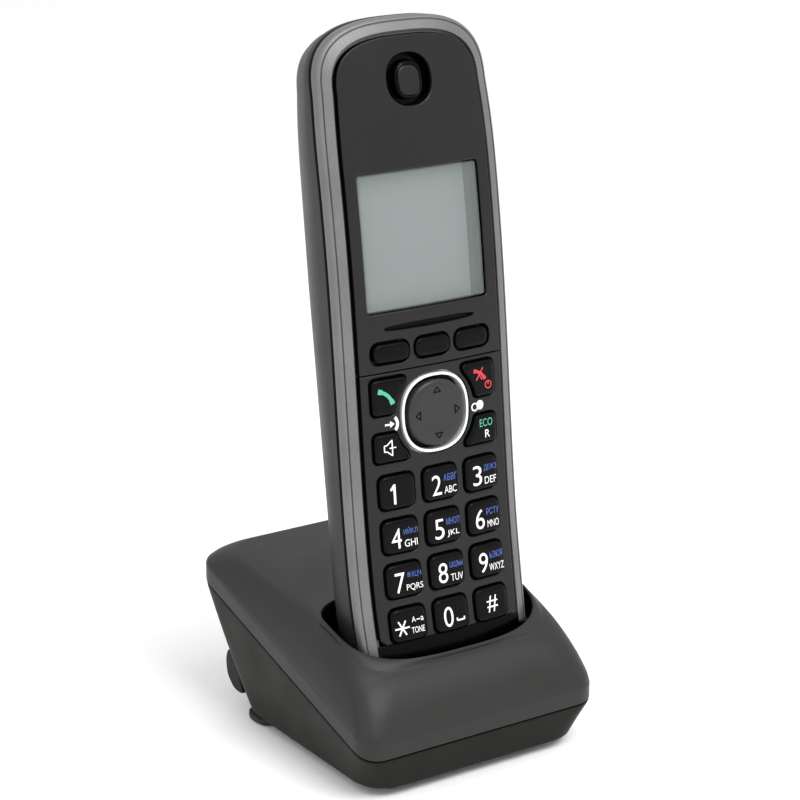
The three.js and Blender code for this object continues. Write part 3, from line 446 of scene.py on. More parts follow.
def moulded(name, colour, rough=(0.4, 0.5), grain=4000, bump=0.05, patches=60, tint=0.12, metal=0.0,
            specular=0.5, edge_highlight=0.0):
    made = bpy.data.materials.new(name)
    made.use_nodes = True
    tree = made.node_tree
    shader = tree.nodes["Principled BSDF"]
    shader.inputs["Metallic"].default_value = metal
    shader.inputs["Specular IOR Level"].default_value = specular
    place = tree.nodes.new("ShaderNodeTexCoord")

    def noise(scale, detail, roughness=0.5):
        node = tree.nodes.new("ShaderNodeTexNoise")
        node.inputs["Scale"].default_value = scale
        node.inputs["Detail"].default_value = detail
        node.inputs["Roughness"].default_value = roughness
        link(tree, place.outputs["Object"], node.inputs["Vector"])
        return node.outputs["Fac"]

    def ramp(source, low, high, at_low, at_high):
        node = tree.nodes.new("ShaderNodeMapRange")
        for label, value in {"From Min": low, "From Max": high, "To Min": at_low, "To Max": at_high}.items():
            node.inputs[label].default_value = value
        link(tree, source, node.inputs["Value"])
        return node.outputs["Result"]

    def blend(amount, first, second):
        node = tree.nodes.new("ShaderNodeMix")
        node.data_type = "RGBA"
        link(tree, amount, node.inputs[0])
        for socket, value in ((node.inputs[6], first), (node.inputs[7], second)):
            if isinstance(value, tuple):
                socket.default_value = value
            else:
                link(tree, value, socket)
        return node.outputs[2]

    def shade(factor, more=0.0):
        return tuple(min(1.0, c * factor + more) for c in colour[:3]) + (1.0,)

    calc = calculator(tree)
    fine, broad = noise(grain, 3.0), noise(patches, 4.0, 0.6)
    mixed = calc("MULTIPLY_ADD", ramp(fine, 0.3, 0.7, 0.0, 0.6), 1.0, ramp(broad, 0.3, 0.7, 0.0, 0.4))
    colour_out = blend(mixed, shade(1 - tint), shade(1 + tint))
    # Painted highlight: sharp edges (high Pointiness) are mixed towards a lighter colour, in patches.
    if edge_highlight:
        edge = tree.nodes.new("ShaderNodeNewGeometry").outputs["Pointiness"]
        patchy = ramp(noise(900, 4.0, 0.7), 0.4, 0.65, 0.2, 1.0)
        amount = calc("MULTIPLY", ramp(edge, 0.52, 0.6, 0.0, edge_highlight), patchy)
        colour_out = blend(amount, colour_out, shade(2.2, 0.01))
    link(tree, colour_out, shader.inputs["Base Color"])
    link(tree, ramp(broad, 0.3, 0.7, *rough), shader.inputs["Roughness"])
    relief = tree.nodes.new("ShaderNodeBump")
    relief.inputs["Strength"].default_value = bump
    relief.inputs["Distance"].default_value = 0.0001
    link(tree, fine, relief.inputs["Height"])
    link(tree, relief.outputs["Normal"], shader.inputs["Normal"])
    FINISH[name] = made
    return made


moulded("satin_charcoal", linear(36, 36, 35), (0.36, 0.48), 3500, 0.35, specular=0.3, edge_highlight=0.12)
moulded("satin_warm_charcoal", linear(20, 19, 15), (0.42, 0.55), 3000, 0.4, specular=0.14, edge_highlight=0.1)
moulded("face_black", linear(25, 25, 24), (0.28, 0.4), 4500, 0.12, tint=0.08, specular=0.27, edge_highlight=0.1)
moulded("key_black", linear(7, 7, 8), (0.2, 0.3), 2500, 0.06, tint=0.1, specular=0.1)
# Real gloss black on some parts, and also the painted shade put on flagged faces in grooves and gaps.
moulded("deep_gloss_black", linear(2, 2, 2), (0.14, 0.24), 2500, 0.04, tint=0.1, specular=0.08)
# Near black for the inside of the cradle's cup: painted shade.
moulded("cup_black", linear(9, 9, 9), (0.5, 0.6), 3500, 0.3, tint=0.1, specular=0.06)
moulded("silver_paint", linear(114, 113, 114), (0.42, 0.52), 5200, 0.45, tint=0.3, metal=0.5,
        specular=0.35, edge_highlight=0.1)
moulded("bright_ring", linear(236, 238, 238), (0.18, 0.28), 2200, 0.04, tint=0.03, metal=0.15)
moulded("display_grey_green", linear(107, 113, 111), (0.35, 0.42), 400, 0.001, tint=0.012, specular=0.15)
moulded("display_surround", linear(62, 62, 60), (0.4, 0.5), 1800, 0.03, tint=0.04, specular=0.15)
moulded("pad_grey", linear(40, 40, 40), (0.3, 0.42), 3500, 0.12, tint=0.1, specular=0.35, edge_highlight=0.1)
moulded("matt_rubber", linear(34, 34, 34), (0.75, 0.9), 2600, 0.5, tint=0.15)
moulded("solder_mask_green", linear(28, 82, 50), (0.35, 0.5), 1500, 0.2, tint=0.2)
moulded("plated_steel", linear(190, 188, 182), (0.22, 0.38), 3000, 0.1, tint=0.08, metal=1.0)
moulded("printed_white", linear(242, 242, 240), (0.35, 0.45), 3000, 0.05, tint=0.02)
moulded("printed_blue", linear(64, 94, 168), (0.35, 0.45), 3000, 0.05, tint=0.04)
moulded("printed_mint", linear(76, 172, 142), (0.35, 0.45), 3000, 0.05, tint=0.04)
moulded("printed_red", linear(200, 48, 60), (0.35, 0.45), 3000, 0.05, tint=0.04)
print("finishes:", ", ".join(FINISH))

# %% [markdown]
# The window is clear acrylic. A see-through shader only needs a little of the surface to be
# opaque, which gives the faint veil of a real window, and a smooth gloss on top.

# %% Clear acrylic for the window
clear = moulded("clear_acrylic", linear(200, 212, 210), (0.03, 0.06), 900, 0.001, tint=0.02)
clear.node_tree.nodes["Principled BSDF"].inputs["Alpha"].default_value = 0.1
clear.surface_render_method = "DITHERED"
print("window alpha:", clear.node_tree.nodes["Principled BSDF"].inputs["Alpha"].default_value)


# %% Finish and place
def smooth(piece, degrees=35.0):
    mesh = piece.data
    mesh.polygons.foreach_set("use_smooth", [True] * len(mesh.polygons))
    mesh.set_sharp_from_angle(angle=math.radians(degrees))
    step = piece.modifiers.new("even shading", "WEIGHTED_NORMAL")
    step.keep_sharp = True
    return bake_modifiers(piece)


def settle(piece, body, slot, *nodes):
    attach(piece, body)
    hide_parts(*nodes)
    print(f"{piece.name}: {len(piece.data.polygons)} faces, rides on {body}")
    return piece


def stand(piece):
    piece.data.transform(STAND)
    return piece


def darken(piece, chosen):
    """Flags the faces that chosen(centres, normals) picks, as they are drawn at this moment."""
    faces = piece.data.polygons
    centres, normals = (np.array([getattr(f, what) for f in faces]) for what in ("center", "normal"))
    flag = piece.data.attributes.new("dark", "BOOLEAN", "FACE")
    flag.data.foreach_set("value", np.asarray(chosen(centres, normals), bool))
    return piece


def blackened(piece, finish="deep_gloss_black"):
    """Gives the flagged faces a black finish: painted shade in grooves, gaps and hollows."""
    flag = piece.data.attributes.get("dark")
    if flag:
        dark = np.zeros(len(piece.data.polygons), bool)
        slots = np.zeros(len(dark), np.int32)
        flag.data.foreach_get("value", dark)
        piece.data.polygons.foreach_get("material_index", slots)
        piece.data.materials.append(FINISH[finish])
        slots[dark] = len(piece.data.materials) - 1
        piece.data.polygons.foreach_set("material_index", slots)
        piece.data.attributes.remove(flag)
    return piece


def formed(piece, finish, cut=(3.0, 2.5), degrees=35.0):
    """Bends a flat-drawn piece to the face and stands it up in the cradle."""
    if cut:
        cut_into_strips(piece, *cut)
    with_tree(piece, BENDER, FINISH[finish])
    return blackened(smooth(stand(outward(piece)), degrees))


def face_piece(piece, finish, body, slot, *nodes, cut=(3.0, 2.5), degrees=35.0, marks=()):
    """A finished front piece, with its printed marks in the same mesh."""
    pieces = [formed(piece, finish, cut, degrees)]
    pieces += [formed(mark, ink, None) for mark, ink in marks]
    whole = merged(piece.name, pieces) if len(pieces) > 1 else pieces[0]
    return settle(whole, body, slot, *nodes)


# %% [markdown]
# ## The silver frame
# A painted strip runs up one side, over the top and down the other. Its section has a flat side,
# a fine crease, and a face that slopes up to the panel. A ledge runs on under the panel. The seam,
# the crease and the ledge get a black finish: painted shade, where little light gets in. A section
# swept along a path is quickest to build point by point: one ring of section points at every
# station of the outline.

# %% Sweep the frame's section along the outline
FRAME_LOW = 2.5
SECTION = [
    (0.9, -4.1), (0.9, -3.65), (0.1, -3.65), (0.0, -3.55), (0.0, -2.4), (0.06, -2.05), (0.2, -1.68),
    (0.45, -1.4), (0.75, -1.22), (0.86, -1.2), (0.95, -1.5), (1.15, -1.5), (1.24, -1.06), (1.4, -0.98),
    (1.9, -0.8), (2.5, -0.58), (3.0, -0.42), (3.2, -0.4), (3.34, -0.5), (3.4, -0.68), (3.4, -1.75),
    (4.6, -1.75), (4.6, -2.2), (3.4, -2.2), (3.4, -4.1),
]
# Painted shade: these sides of the section (the seam, the crease and the ledge) get the black finish.
PAINTED_SHADE_SIDES = (0, 1, 9, 10, 11, 19, 20, 21, 22, 23, 24)  # the seam, the crease and the ledge under the panels


def swept_frame():
    stations = [np.concatenate([right_side(i, FRAME_LOW), (right_side(i, FRAME_LOW)[::-1] * [-1, 1])[1:]])
                for i, _ in SECTION]
    rings = [np.array([(*line_of_points[k], w) for line_of_points, (_, w) in zip(stations, SECTION)])
             for k in range(len(stations[0]))]
    frame_piece = skin("silver_frame", rings)
    side = np.arange(len(frame_piece.data.polygons)) % len(SECTION)
    return darken(frame_piece, lambda centres, normals: np.isin(side, PAINTED_SHADE_SIDES))


face_piece(swept_frame(), "silver_paint", "handset", "silver_paint", "handset_silver_frame",
           cut=(6.0, 2.5), degrees=28.0)

# %% [markdown]
# ## The two front panels
# Holes in a moulding have rolled edges. We get them for free by cutting with a tool that flares
# at the top: straight below, and opening outwards in small steps near the surface.

# %% Flared cutting tools
FLARE = [(0.0, -3.2), (0.0, -0.62), (0.05, -0.36), (0.14, -0.18), (0.28, -0.06), (0.46, 0.0), (0.6, 0.03)]


def flared(name, outline, floor=-3.2, spread=1.0):
    """A cutter for a hole with a rolled edge; spread scales the roll."""
    rings = [(grown(outline, g * spread), max(w * spread, floor) if w < -1 else w * spread)
             for g, w in FLARE if w * spread > floor or w < -1]
    rings = [(outline, floor)] + [r for r in rings if r[1] > floor + 0.01]
    top = rings[-1][0]
    return stack(name, rings + [(top, 2.0)])


def plate(name, outline_at, back=-1.5):
    """A panel with a small round on its front edge."""
    edge = [(0.0, back), (0.0, -0.45), (0.05, -0.24), (0.16, -0.09), (0.34, 0.0)]  # inset, height
    return stack(name, [(outline_at(inset), w) for inset, w in edge])


PANEL_INSET, PANEL_SPLIT = 4.15, 70.7
WINDOW = (-17.0, 17.0, 84.9, 117.4)
EAR_V, GROOVE_V, SOFT_V, SOFT_PITCH, NAV_V = 138.2, 80.9, 75.3, 11.5, 59.0
print("cutting tools ready; panels meet at v =", PANEL_SPLIT)

# %% [markdown]
# The display panel holds the window, the earpiece and the three soft keys. Their openings are
# rounder than the keys, so the bridges between them look like hourglasses. The walls of all the
# hollows get a deep black, since hardly any light reaches them.

# %% The display panel
def soft_outline(k, grow=0.0):
    return grown(pill(k * SOFT_PITCH, SOFT_V, 4.8, 2.15, 2.0), grow)


def soft_opening(k):
    """Taller than its key, and longer at the outer ends: what is left between two is an hourglass."""
    u, reach = k * SOFT_PITCH, {-1: (5.75, 5.2), 0: (5.2, 5.2), 1: (5.2, 5.75)}[k]
    return rounded(rectangle(u - reach[0], u + reach[1], SOFT_V - 2.85, SOFT_V + 2.85), 3.4, 10)


def inside(outline_u, outline_v, centre, power, points):
    offset = np.abs((points[:, :2] - centre) / [outline_u, outline_v])
    return (offset**power).sum(1) < 1


def panel_edges(centres, normals):
    """The upright outer edge of a panel, painted black: painted shade in the narrow groove beside the frame.
    """
    u, v, w = centres.T
    near = (np.abs(u) > half_width(v) - PANEL_INSET - 0.12) | (v > HIGH_END - PANEL_INSET - 0.12)
    corner = (v > HIGH_END - TOP_ROUND) & (w < -0.15)
    return (near | corner) & (np.abs(normals[:, 2]) < 0.8)


def display_dark(centres, normals):
    u, v, w = centres.T
    groove = inside(13.3, 1.3, (0, GROOVE_V), 2.0, centres) & (w < -0.3)
    openings = (np.abs(v - SOFT_V) < 3.3) & (np.abs(u) < 17.6) & (w < -0.3)
    moat = inside(7.2, 7.2, (0, EAR_V), 2.3, centres) & (w < -0.12)
    window = (np.abs(u) < WINDOW[1] + 0.5) & (v > WINDOW[2] - 0.5) & (v < WINDOW[3] + 0.5) & (w < -0.15)
    return panel_edges(centres, normals) | groove | openings | moat | window


def display_outline(inset):
    return refined(case_outline(PANEL_INSET + inset, PANEL_SPLIT + 0.15), 3.0)


panel = plate("display_panel", display_outline)
window_outline = rounded(rectangle(*WINDOW), 0.9, 5)
GROOVE = [(12.0, 0.25, -0.9), (12.4, 0.5, -0.8), (12.8, 0.66, -0.4), (13.1, 0.8, -0.08),
          (13.4, 0.95, 0.04), (13.4, 0.95, 1.0)]  # half length, half height, and where along w
tools = [
    flared("window", window_outline, spread=1.2),
    stack("groove", [(oval(half, high, 2.6, 0, GROOVE_V, 80), w) for half, high, w in GROOVE]),
    flared("moat", oval(6.0, 5.9, 2.3, 0, EAR_V), spread=1.5),
]
tools += [flared("soft_opening", soft_opening(k), spread=0.6) for k in (-1, 0, 1)]
combine(panel, tools)
face_piece(darken(panel, display_dark), "face_black", "handset", "black_face", "handset_display_panel",
           cut=(2.5, 2.5))

# %% [markdown]
# ## The keypad panel
# Twelve number keys stand in a regular grid, so their twelve openings are one cutter repeated by
# Geometry Nodes: a grid of points, with a copy of the cutter on each. The keys beside the
# navigator are cut one by one, because each has a side that follows the ring.

# %% A tree that puts a copy of one part on every point
def copying_tree():
    tree, given = new_tree("Copies on points", {"Size": 1.0})
    part = tree.interface.new_socket(name="Part", in_out="INPUT", socket_type="NodeSocketObject")
    info = tree.nodes.new("GeometryNodeObjectInfo")
    info.transform_space = "ORIGINAL"
    copies = tree.nodes.new("GeometryNodeInstanceOnPoints")
    link(tree, given.outputs[part.name], info.inputs["Object"])
    link(tree, given.outputs["Geometry"], copies.inputs["Points"])
    link(tree, info.outputs["Geometry"], copies.inputs["Instance"])
    link(tree, given.outputs["Size"], copies.inputs["Scale"])
    return finish_tree(tree, copies.outputs[0], given)


COPIER = copying_tree()


def copies(name, part, places, finish=None):
    """One mesh with the part repeated at each place."""
    points = from_faces(name, [(*p, 0.0)[:3] for p in places], [])
    made = with_tree(points, COPIER, finish, Part=part, Size=1.0)
    bpy.data.objects.remove(part)
    return made


ROW_PITCH, COLUMN_PITCH, FIRST_ROW = 10.87, 12.2, 41.65
GRID = [((c - 1) * COLUMN_PITCH, FIRST_ROW - ROW_PITCH * r) for r in range(4) for c in range(3)]
print("key places:", len(GRID))


# %% The openings and the panel
def corner_outline(side, low, high):
    """A key beside the navigator: its inner side is an arc round the ring."""
    v = np.linspace(high, low, 9)
    arc = np.stack([np.maximum(np.sqrt(11.9**2 - (v - NAV_V) ** 2), 8.2), v], 1)
    corners = np.concatenate([arc, [[17.6, low], [17.6, high]]])
    corners = corners if side > 0 else (corners * [-1, 1])[::-1]
    return rounded_corners(corners, 1.3)


def rounded_corners(corners, radius):
    """Rounds only the sharp corners of an outline that also holds a curve."""
    points = []
    for k, here in enumerate(corners):
        back, ahead = corners[k - 1] - here, corners[(k + 1) % len(corners)] - here
        b, a = np.linalg.norm(back), np.linalg.norm(ahead)
        turn = np.degrees(np.arccos(np.clip(-(back @ ahead) / (a * b), -1, 1)))
        if turn < 25:
            points.append(here)
            continue
        reach_b, reach_a = min(radius, b * 0.48), min(radius, a * 0.48)
        start, end = here + back / b * reach_b, here + ahead / a * reach_a
        points += [(1 - t) ** 2 * start + 2 * t * (1 - t) * here + t * t * end for t in np.linspace(0, 1, 7)]
    return np.array(points)


CORNER_KEYS = {
    "key_talk": corner_outline(-1, 60.6, 69.2),
    "key_off": corner_outline(1, 60.6, 69.2),
    "key_speakerphone": corner_outline(-1, 49.1, 56.0),
    "key_eco_recall": corner_outline(1, 49.1, 56.0),
}
NUMBER_HALF = (4.75, 4.05)
NAMES = ["key_1", "key_2", "key_3", "key_4", "key_5", "key_6", "key_7", "key_8", "key_9",
         "key_star", "key_0", "key_hash"]
KEY_GAP = 0.35


def keypad_outline(inset):
    low, high = 4.9 + inset, PANEL_SPLIT - 0.15 - inset
    v = np.linspace(low + 1.5, high, 27)
    right = np.concatenate([[[half_width(low) - PANEL_INSET - inset - 1.5, low]],
                            np.stack([half_width(v) - PANEL_INSET - inset, v], 1)])
    return refined(np.concatenate([right, right[::-1] * [-1, 1]]), 3.0)


panel = plate("keypad_panel", keypad_outline)
one_hole = flared("hole", pill(0, 0, NUMBER_HALF[0] + KEY_GAP, NUMBER_HALF[1] + KEY_GAP, 2.2))
tools = [copies("number_holes", one_hole, GRID)]
tools += [flared("hole", grown(outline, KEY_GAP)) for outline in CORNER_KEYS.values()]
tools += [flared("ring_hole", oval(10.05, 10.05, 2.4, 0, NAV_V, 80), spread=0.4)]
darken(combine(panel, tools), panel_edges)

# %% [markdown]
# ## Printed marks
# The digits, letters and small pictures are printed ink. Ink has almost no thickness, so each mark
# is a text or a pen stroke made 0.06 mm thick, half of it sunk in the plastic. A text is turned
# into a mesh before it is placed, since the finished piece has to sit at the origin.

# %% Letters and pen strokes in ink
INK_DEPTH, PANEL_TOP, KEY_TOP = 0.03, 0.0, 0.75
WHITE, BLUE, MINT, RED = "printed_white", "printed_blue", "printed_mint", "printed_red"


def lettering(text, width, height, u, v, weight=0.0):
    """A word in the builtin typeface, fitted to a width and a height in mm."""
    curve = bpy.data.curves.new(text, "FONT")
    curve.body, curve.size, curve.resolution_u = text, 1.0, 4
    curve.offset, curve.extrude = weight, 0.1
    typed = make_object("typed", curve)
    graph = bpy.context.evaluated_depsgraph_get()
    mesh = bpy.data.meshes.new_from_object(typed.evaluated_get(graph))
    bpy.data.objects.remove(typed)
    points = np.array([p.co for p in mesh.vertices])
    low, high = points.min(0), points.max(0)
    scale = np.array([width, height, 2 * INK_DEPTH]) / (high - low)
    points = (points - (low + high) / 2) * scale + [u, v, KEY_TOP + 0.01]
    mesh.vertices.foreach_set("co", points.astype(np.float32).ravel())
    return make_object("mark", mesh)


def inked(outline, w=KEY_TOP):
    return prism("mark", np.array(outline, float), w - INK_DEPTH, w + INK_DEPTH + 0.01)


def line(points, width, w=KEY_TOP):
    return inked(stroke(points, width), w)


def arc(u, v, radius, start, end, count=20):
    a = np.radians(np.linspace(start, end, count))
    return np.stack([u + radius * np.cos(a), v + radius * np.sin(a)], 1)


def ring_mark(u, v, radius, width, w=KEY_TOP):
    outer = inked(oval(radius, radius, 2, u, v, 28), w)
    return combine(outer, [prism("middle", oval(radius - width, radius - width, 2, u, v, 28), w - 1, w + 1)])


print("ink thickness:", 2 * INK_DEPTH, "mm")

# %% The two marks printed on the keypad panel
panel_marks = [
    (line([(-14.3, 58.1), (-12.5, 58.1)], 0.45, PANEL_TOP), WHITE),
    (inked([(-12.9, 57.3), (-11.7, 58.1), (-12.9, 58.9)], PANEL_TOP), WHITE),
    (line(arc(-13.0, 58.1, 2.1, -46, 46), 0.75, PANEL_TOP), WHITE),
    (ring_mark(11.6, 58.1, 1.05, 0.34, PANEL_TOP), WHITE),
    (inked(oval(1.05, 1.15, 2, 13.2, 58.4, 28), PANEL_TOP), WHITE),
]
face_piece(panel, "face_black", "handset", "black_face", "handset_keypad_panel", cut=(2.5, 2.5),
           marks=panel_marks)

# %% [markdown]
# ## The keys
# Every key is a cap with a soft edge above a flange that keeps it in the panel. A key is made
# from its outline alone: the same pile of insets shapes a round, square or cut-away key.
# Each key is a body of its own, so each becomes a mesh of its own.

# %% One key from its outline
CAP = [(0.65, -2.4), (0.65, -1.85), (0.0, -1.85), (0.0, 0.1), (0.05, 0.3), (0.15, 0.48), (0.32, 0.62),
       (0.6, 0.71), (1.0, 0.75)]


def key_cap(name, outline, height=0.75):
    rings = [(grown(outline, g if w < -1 else -g), w if w < -1 else w * height / 0.75) for g, w in CAP]
    return stack(name, rings)


LATIN = {2: "ABC", 3: "DEF", 4: "GHI", 5: "JKL", 6: "MNO", 7: "PQRS", 8: "TUV", 9: "WXYZ"}
CYRILLIC = {2: "АБВГ", 3: "ДЕЖЗ", 4: "ИЙКЛ", 5: "МНОП", 6: "РСТУ", 7: "ФХЦЧ", 8: "ШЩЪЫ", 9: "ЬЭЮЯ"}


def digit_marks(digit, u, v):
    figure_u = u - 1.3
    if digit == 1:
        flag = [(-0.95, 1.3), (0.1, 2.45), (0.55, 2.45), (0.55, -2.45), (-0.05, -2.45), (-0.05, 1.35),
                (-0.65, 0.85)]
        return [(inked([(figure_u + a, v - 0.4 + b) for a, b in flag][::-1]), WHITE)]
    marks = [(lettering(str(digit), 2.7, 4.9, figure_u - 0.1, v - 0.4, -0.004), WHITE)]
    if digit in LATIN:
        word = LATIN[digit]
        marks += [(lettering(word, 0.55 + 1.0 * len(word), 1.75, u + 2.55, v - 1.95, -0.004), WHITE),
                  (lettering(CYRILLIC[digit], 3.9, 1.65, u + 2.6, v + 1.1), BLUE)]
    return marks


def star_marks(u, v):
    middle = (u - 2.1, v - 0.5)
    spokes = [line([(middle[0] - 2.0 * math.cos(a), middle[1] - 2.0 * math.sin(a)),
                    (middle[0] + 2.0 * math.cos(a), middle[1] + 2.0 * math.sin(a))], 0.4)
              for a in (0, math.pi / 3, 2 * math.pi / 3)]
    return [(s, WHITE) for s in spokes] + [
        (lettering("A", 1.1, 1.35, u + 1.2, v + 1.1), WHITE),
        (line([(u + 1.95, v + 0.95), (u + 2.95, v + 0.95)], 0.24), WHITE),
        (lettering("a", 0.85, 1.0, u + 3.55, v + 0.95), WHITE),
        (lettering("TONE", 3.6, 1.5, u + 2.2, v - 1.5), WHITE)]


def zero_marks(u, v):
    space = [(u + 1.3, v - 1.1), (u + 1.3, v - 1.75), (u + 3.4, v - 1.75), (u + 3.4, v - 1.1)]
    return digit_marks(0, u + 0.3, v) + [
        (line([a, b], 0.4), WHITE) for a, b in zip(space, space[1:])]


for name, (u, v) in zip(NAMES, GRID):
    cap = key_cap(name + "_cap", pill(u, v, *NUMBER_HALF, 2.0))
    if name == "key_star":
        marks = star_marks(u, v)
    elif name == "key_0":
        marks = zero_marks(u, v)
    elif name == "key_hash":
        marks = [(lettering("#", 3.3, 4.0, u, v, -0.004), WHITE)]
    else:
        marks = digit_marks(int(name[-1]), u, v)
    face_piece(cap, "key_black", name + "_body", "black_key", name, cut=(1.5, 1.5), marks=marks)

# %% [markdown]
# The keys beside the navigator carry small pictures: a lifted handset in mint, a handset that is
# put down and a power mark in red, a loudspeaker, and two words. Each is a few pen strokes.

# %% The four keys round the navigator
def receiver(u, v, turn, size, ink):
    """A telephone receiver: a bent bar with two thick ends."""
    c, s = math.cos(turn), math.sin(turn)

    def at(a, b):
        return (u + size * (a * c - b * s), v + size * (a * s + b * c))

    def on_bow(a):
        return at(a, 0.24 - 0.24 * a * a)

    bow = [on_bow(a) for a in np.linspace(-1.1, 1.1, 14)]
    ends = [[on_bow(side * a) for a in (0.74, 0.96, 1.18)] for side in (-1, 1)]
    return [(line(bow, 0.4 * size), ink)] + [(line(e, 0.56 * size), ink) for e in ends]


def speaker_mark(u, v):
    shape = [(-1.7, -0.75), (-1.0, -0.75), (0.45, -1.9), (0.45, 1.9), (-1.0, 0.75), (-1.7, 0.75),
             (-1.7, -0.75)]
    body = [(u + a, v + b) for a, b in shape]
    rays = [[(u - 0.3, v), (u + 1.5, v)]]
    return [(line([a, b], 0.28), WHITE) for a, b in list(zip(body, body[1:])) + rays]


corner_marks = {
    "key_talk": receiver(-14.1, 65.0, math.radians(-42), 2.2, MINT),
    "key_off": receiver(13.0, 66.0, math.radians(-35), 1.75, RED) + [
        (line([(11.9, 64.7), (14.1, 67.6)], 0.34), RED),
        (line([(12.1, 67.2), (13.7, 64.7)], 0.3), RED),
        (ring_mark(15.5, 63.2, 1.05, 0.3), RED),
        (line([(15.5, 63.2), (15.5, 64.3)], 0.32), RED)],
    "key_speakerphone": speaker_mark(-13.6, 52.6),
    "key_eco_recall": [(lettering("ECO", 3.9, 1.9, 14.3, 54.0), MINT),
                       (lettering("R", 1.45, 1.9, 14.6, 51.2), WHITE)],
}
for name, outline in CORNER_KEYS.items():
    face_piece(key_cap(name + "_cap", outline), "key_black", name + "_body", "black_key", name,
               cut=(1.5, 1.5), marks=corner_marks[name])
for name, k in (("key_soft_left", -1), ("key_soft_middle", 0), ("key_soft_right", 1)):
    face_piece(key_cap(name + "_cap", soft_outline(k), 0.45), "key_black", name + "_body", "black_key", name,
               cut=(1.5, 1.5))

# %% [markdown]
# ## The navigator
# A pale ring frames a rocking pad. The ring is a closed band, so we draw its section and sweep it
# round the superellipse. The pad is slightly dished for the thumb and carries four small arrows.

# %% Ring, pad and pivot
RING_SECTION = [(10.5, -2.4), (10.5, -1.85), (9.6, -1.85), (9.6, 0.02), (9.55, 0.14), (9.42, 0.21),
                (9.25, 0.24), (9.07, 0.21), (8.95, 0.14), (8.9, 0.02), (8.9, -2.4)]
ring = stack("navigator_ring", [(oval(r, r, 2.4, 0, NAV_V, 80), w) for r, w in RING_SECTION], endless=True)
face_piece(ring, "bright_ring", "handset", "pale_ring", "handset_navigator_ring", cut=None)

PAD = [(8.0, -2.6), (8.0, 0.2), (7.95, 0.45), (7.8, 0.66), (7.5, 0.85), (7.1, 0.96), (6.6, 1.0), (5.4, 0.98),
       (4.0, 0.92), (2.4, 0.87), (1.0, 0.85)]
pad = stack("navigator_pad_cap", [(oval(r, r, 2.15, 0, NAV_V, 80), w) for r, w in PAD])
# The real arrows are engraved; these black strokes are painted shade in their grooves.
arrows = []
for quarter in range(4):
    c, s = math.cos(quarter * math.pi / 2), math.sin(quarter * math.pi / 2)
    tip = [(5.0, -1.0), (6.3, 0.0), (5.0, 1.0), (5.0, -1.0)]
    tip = [(a * c - b * s, NAV_V + a * s + b * c) for a, b in tip]
    arrows += [(line([a, b], 0.3, 0.99), "deep_gloss_black") for a, b in zip(tip, tip[1:])]
face_piece(pad, "pad_grey", "navigator_rocker", "black_key", "navigator_pad", cut=(2.0, 2.0), marks=arrows)

# %% [markdown]
# ## Display and earpiece
# Behind the clear window the display lies three millimetres down in a grey frame. That depth is
# what makes one inner wall show when the handset is seen from the side.

# %% The display module, the window and the earpiece
DISPLAY_DEPTH = -4.3


def display_module():
    holder = plate("display_module", lambda inset: pill(0, 101.4, 19.0 - inset, 18.5 - inset, 1.0), -5.0)
    holder.data.transform(Matrix.Translation((0, 0, -1.55)))
    opening = rounded(rectangle(-17.3, 17.3, 84.6, 117.7), 0.8, 4)
    return combine(holder, [prism("opening", opening, DISPLAY_DEPTH, 2)])


glass = prism("glass", rounded(rectangle(-17.1, 15.3, 84.7, 117.6), 0.5, 3), -4.6, DISPLAY_DEPTH + 0.15)
display_frame = merged("display_module", [formed(display_module(), "display_surround"),
                                          formed(glass, "display_grey_green")])
settle(display_frame, "handset", "lcd_grey", "handset_lcd_module")

lens_edge = [(0.0, -1.3), (0.0, -0.6), (0.08, -0.42), (0.25, -0.35)]
lens = stack("display_window", [(grown(window_outline, -0.3 - g), w) for g, w in lens_edge])
face_piece(lens, "clear_acrylic", "handset", "clear_lens", "handset_display_lens", cut=(2.5, 2.5))

island_rings = [(2.6, -2.9), (2.6, -2.3), (0.1, -2.3), (0.0, -2.15), (-0.05, -0.7), (-0.15, -0.4),
                (-0.38, -0.16), (-0.75, -0.06), (-0.9, -0.14), (-0.95, -0.4)]
island_at = oval(3.9, 4.55, 2.5, 0, EAR_V - 0.2)
island = stack("earpiece_grille", [(grown(island_at, g), w) for g, w in island_rings])
top_rings = [(1.0, -1.0), (1.0, -0.26), (0.97, -0.15), (0.9, -0.1), (0.6, -0.13), (0.3, -0.16), (0.08, -0.17)]
island_top = stack("top", [(oval(2.95 * r, 3.45 * r, 2.8, 0, EAR_V - 0.35), w) for r, w in top_rings])
face_piece(island, "deep_gloss_black", "handset", "black_face", "handset_earpiece_grille", cut=(2.0, 2.0),
           marks=[(island_top, "face_black")])

# %% [markdown]
# ## The case of the handset
# The case is a shell: an outer pile of outlines, minus the same pile drawn 1.7 mm further in.
# Both are bent first. Then the openings are cut: the whole front, the battery bay, the slots of
# the loudspeaker and the wells of the screws. The bay lies along the slope of the back, so its
# boxes are drawn on that slope.

# %% Shell and bay tools
WALL, GAP = 1.7, 0.3
BACK_ROUND, CASE_DEPTH, STRAIGHT = 11.2, DEPTH["Drawn depth"], DEPTH["Straight side"]
SLOPE = math.atan(BACK_SLOPES[1][2])
BAY = {"door_half": 14.5, "door": (4.0, 60.5), "pocket_half": 11.1, "pocket": (6.4, 57.1), "deep": 12.95}


def case_body(name, wall, front_wall):
    rings = []
    for degrees in (90, 80, 70, 60, 50, 40, 30, 20, 10, 0):
        angle = math.radians(degrees)
        inset = BACK_ROUND * (1 - math.cos(angle)) + wall
        rings.append((case_outline(inset), -STRAIGHT - (CASE_DEPTH - STRAIGHT - wall) * math.sin(angle)))
    rings += [(case_outline(wall), -1 - front_wall), (case_outline(wall + 0.3), -front_wall - 0.35),
              (case_outline(wall + 0.9), -front_wall)]
    return bent_part(stack(name, rings))


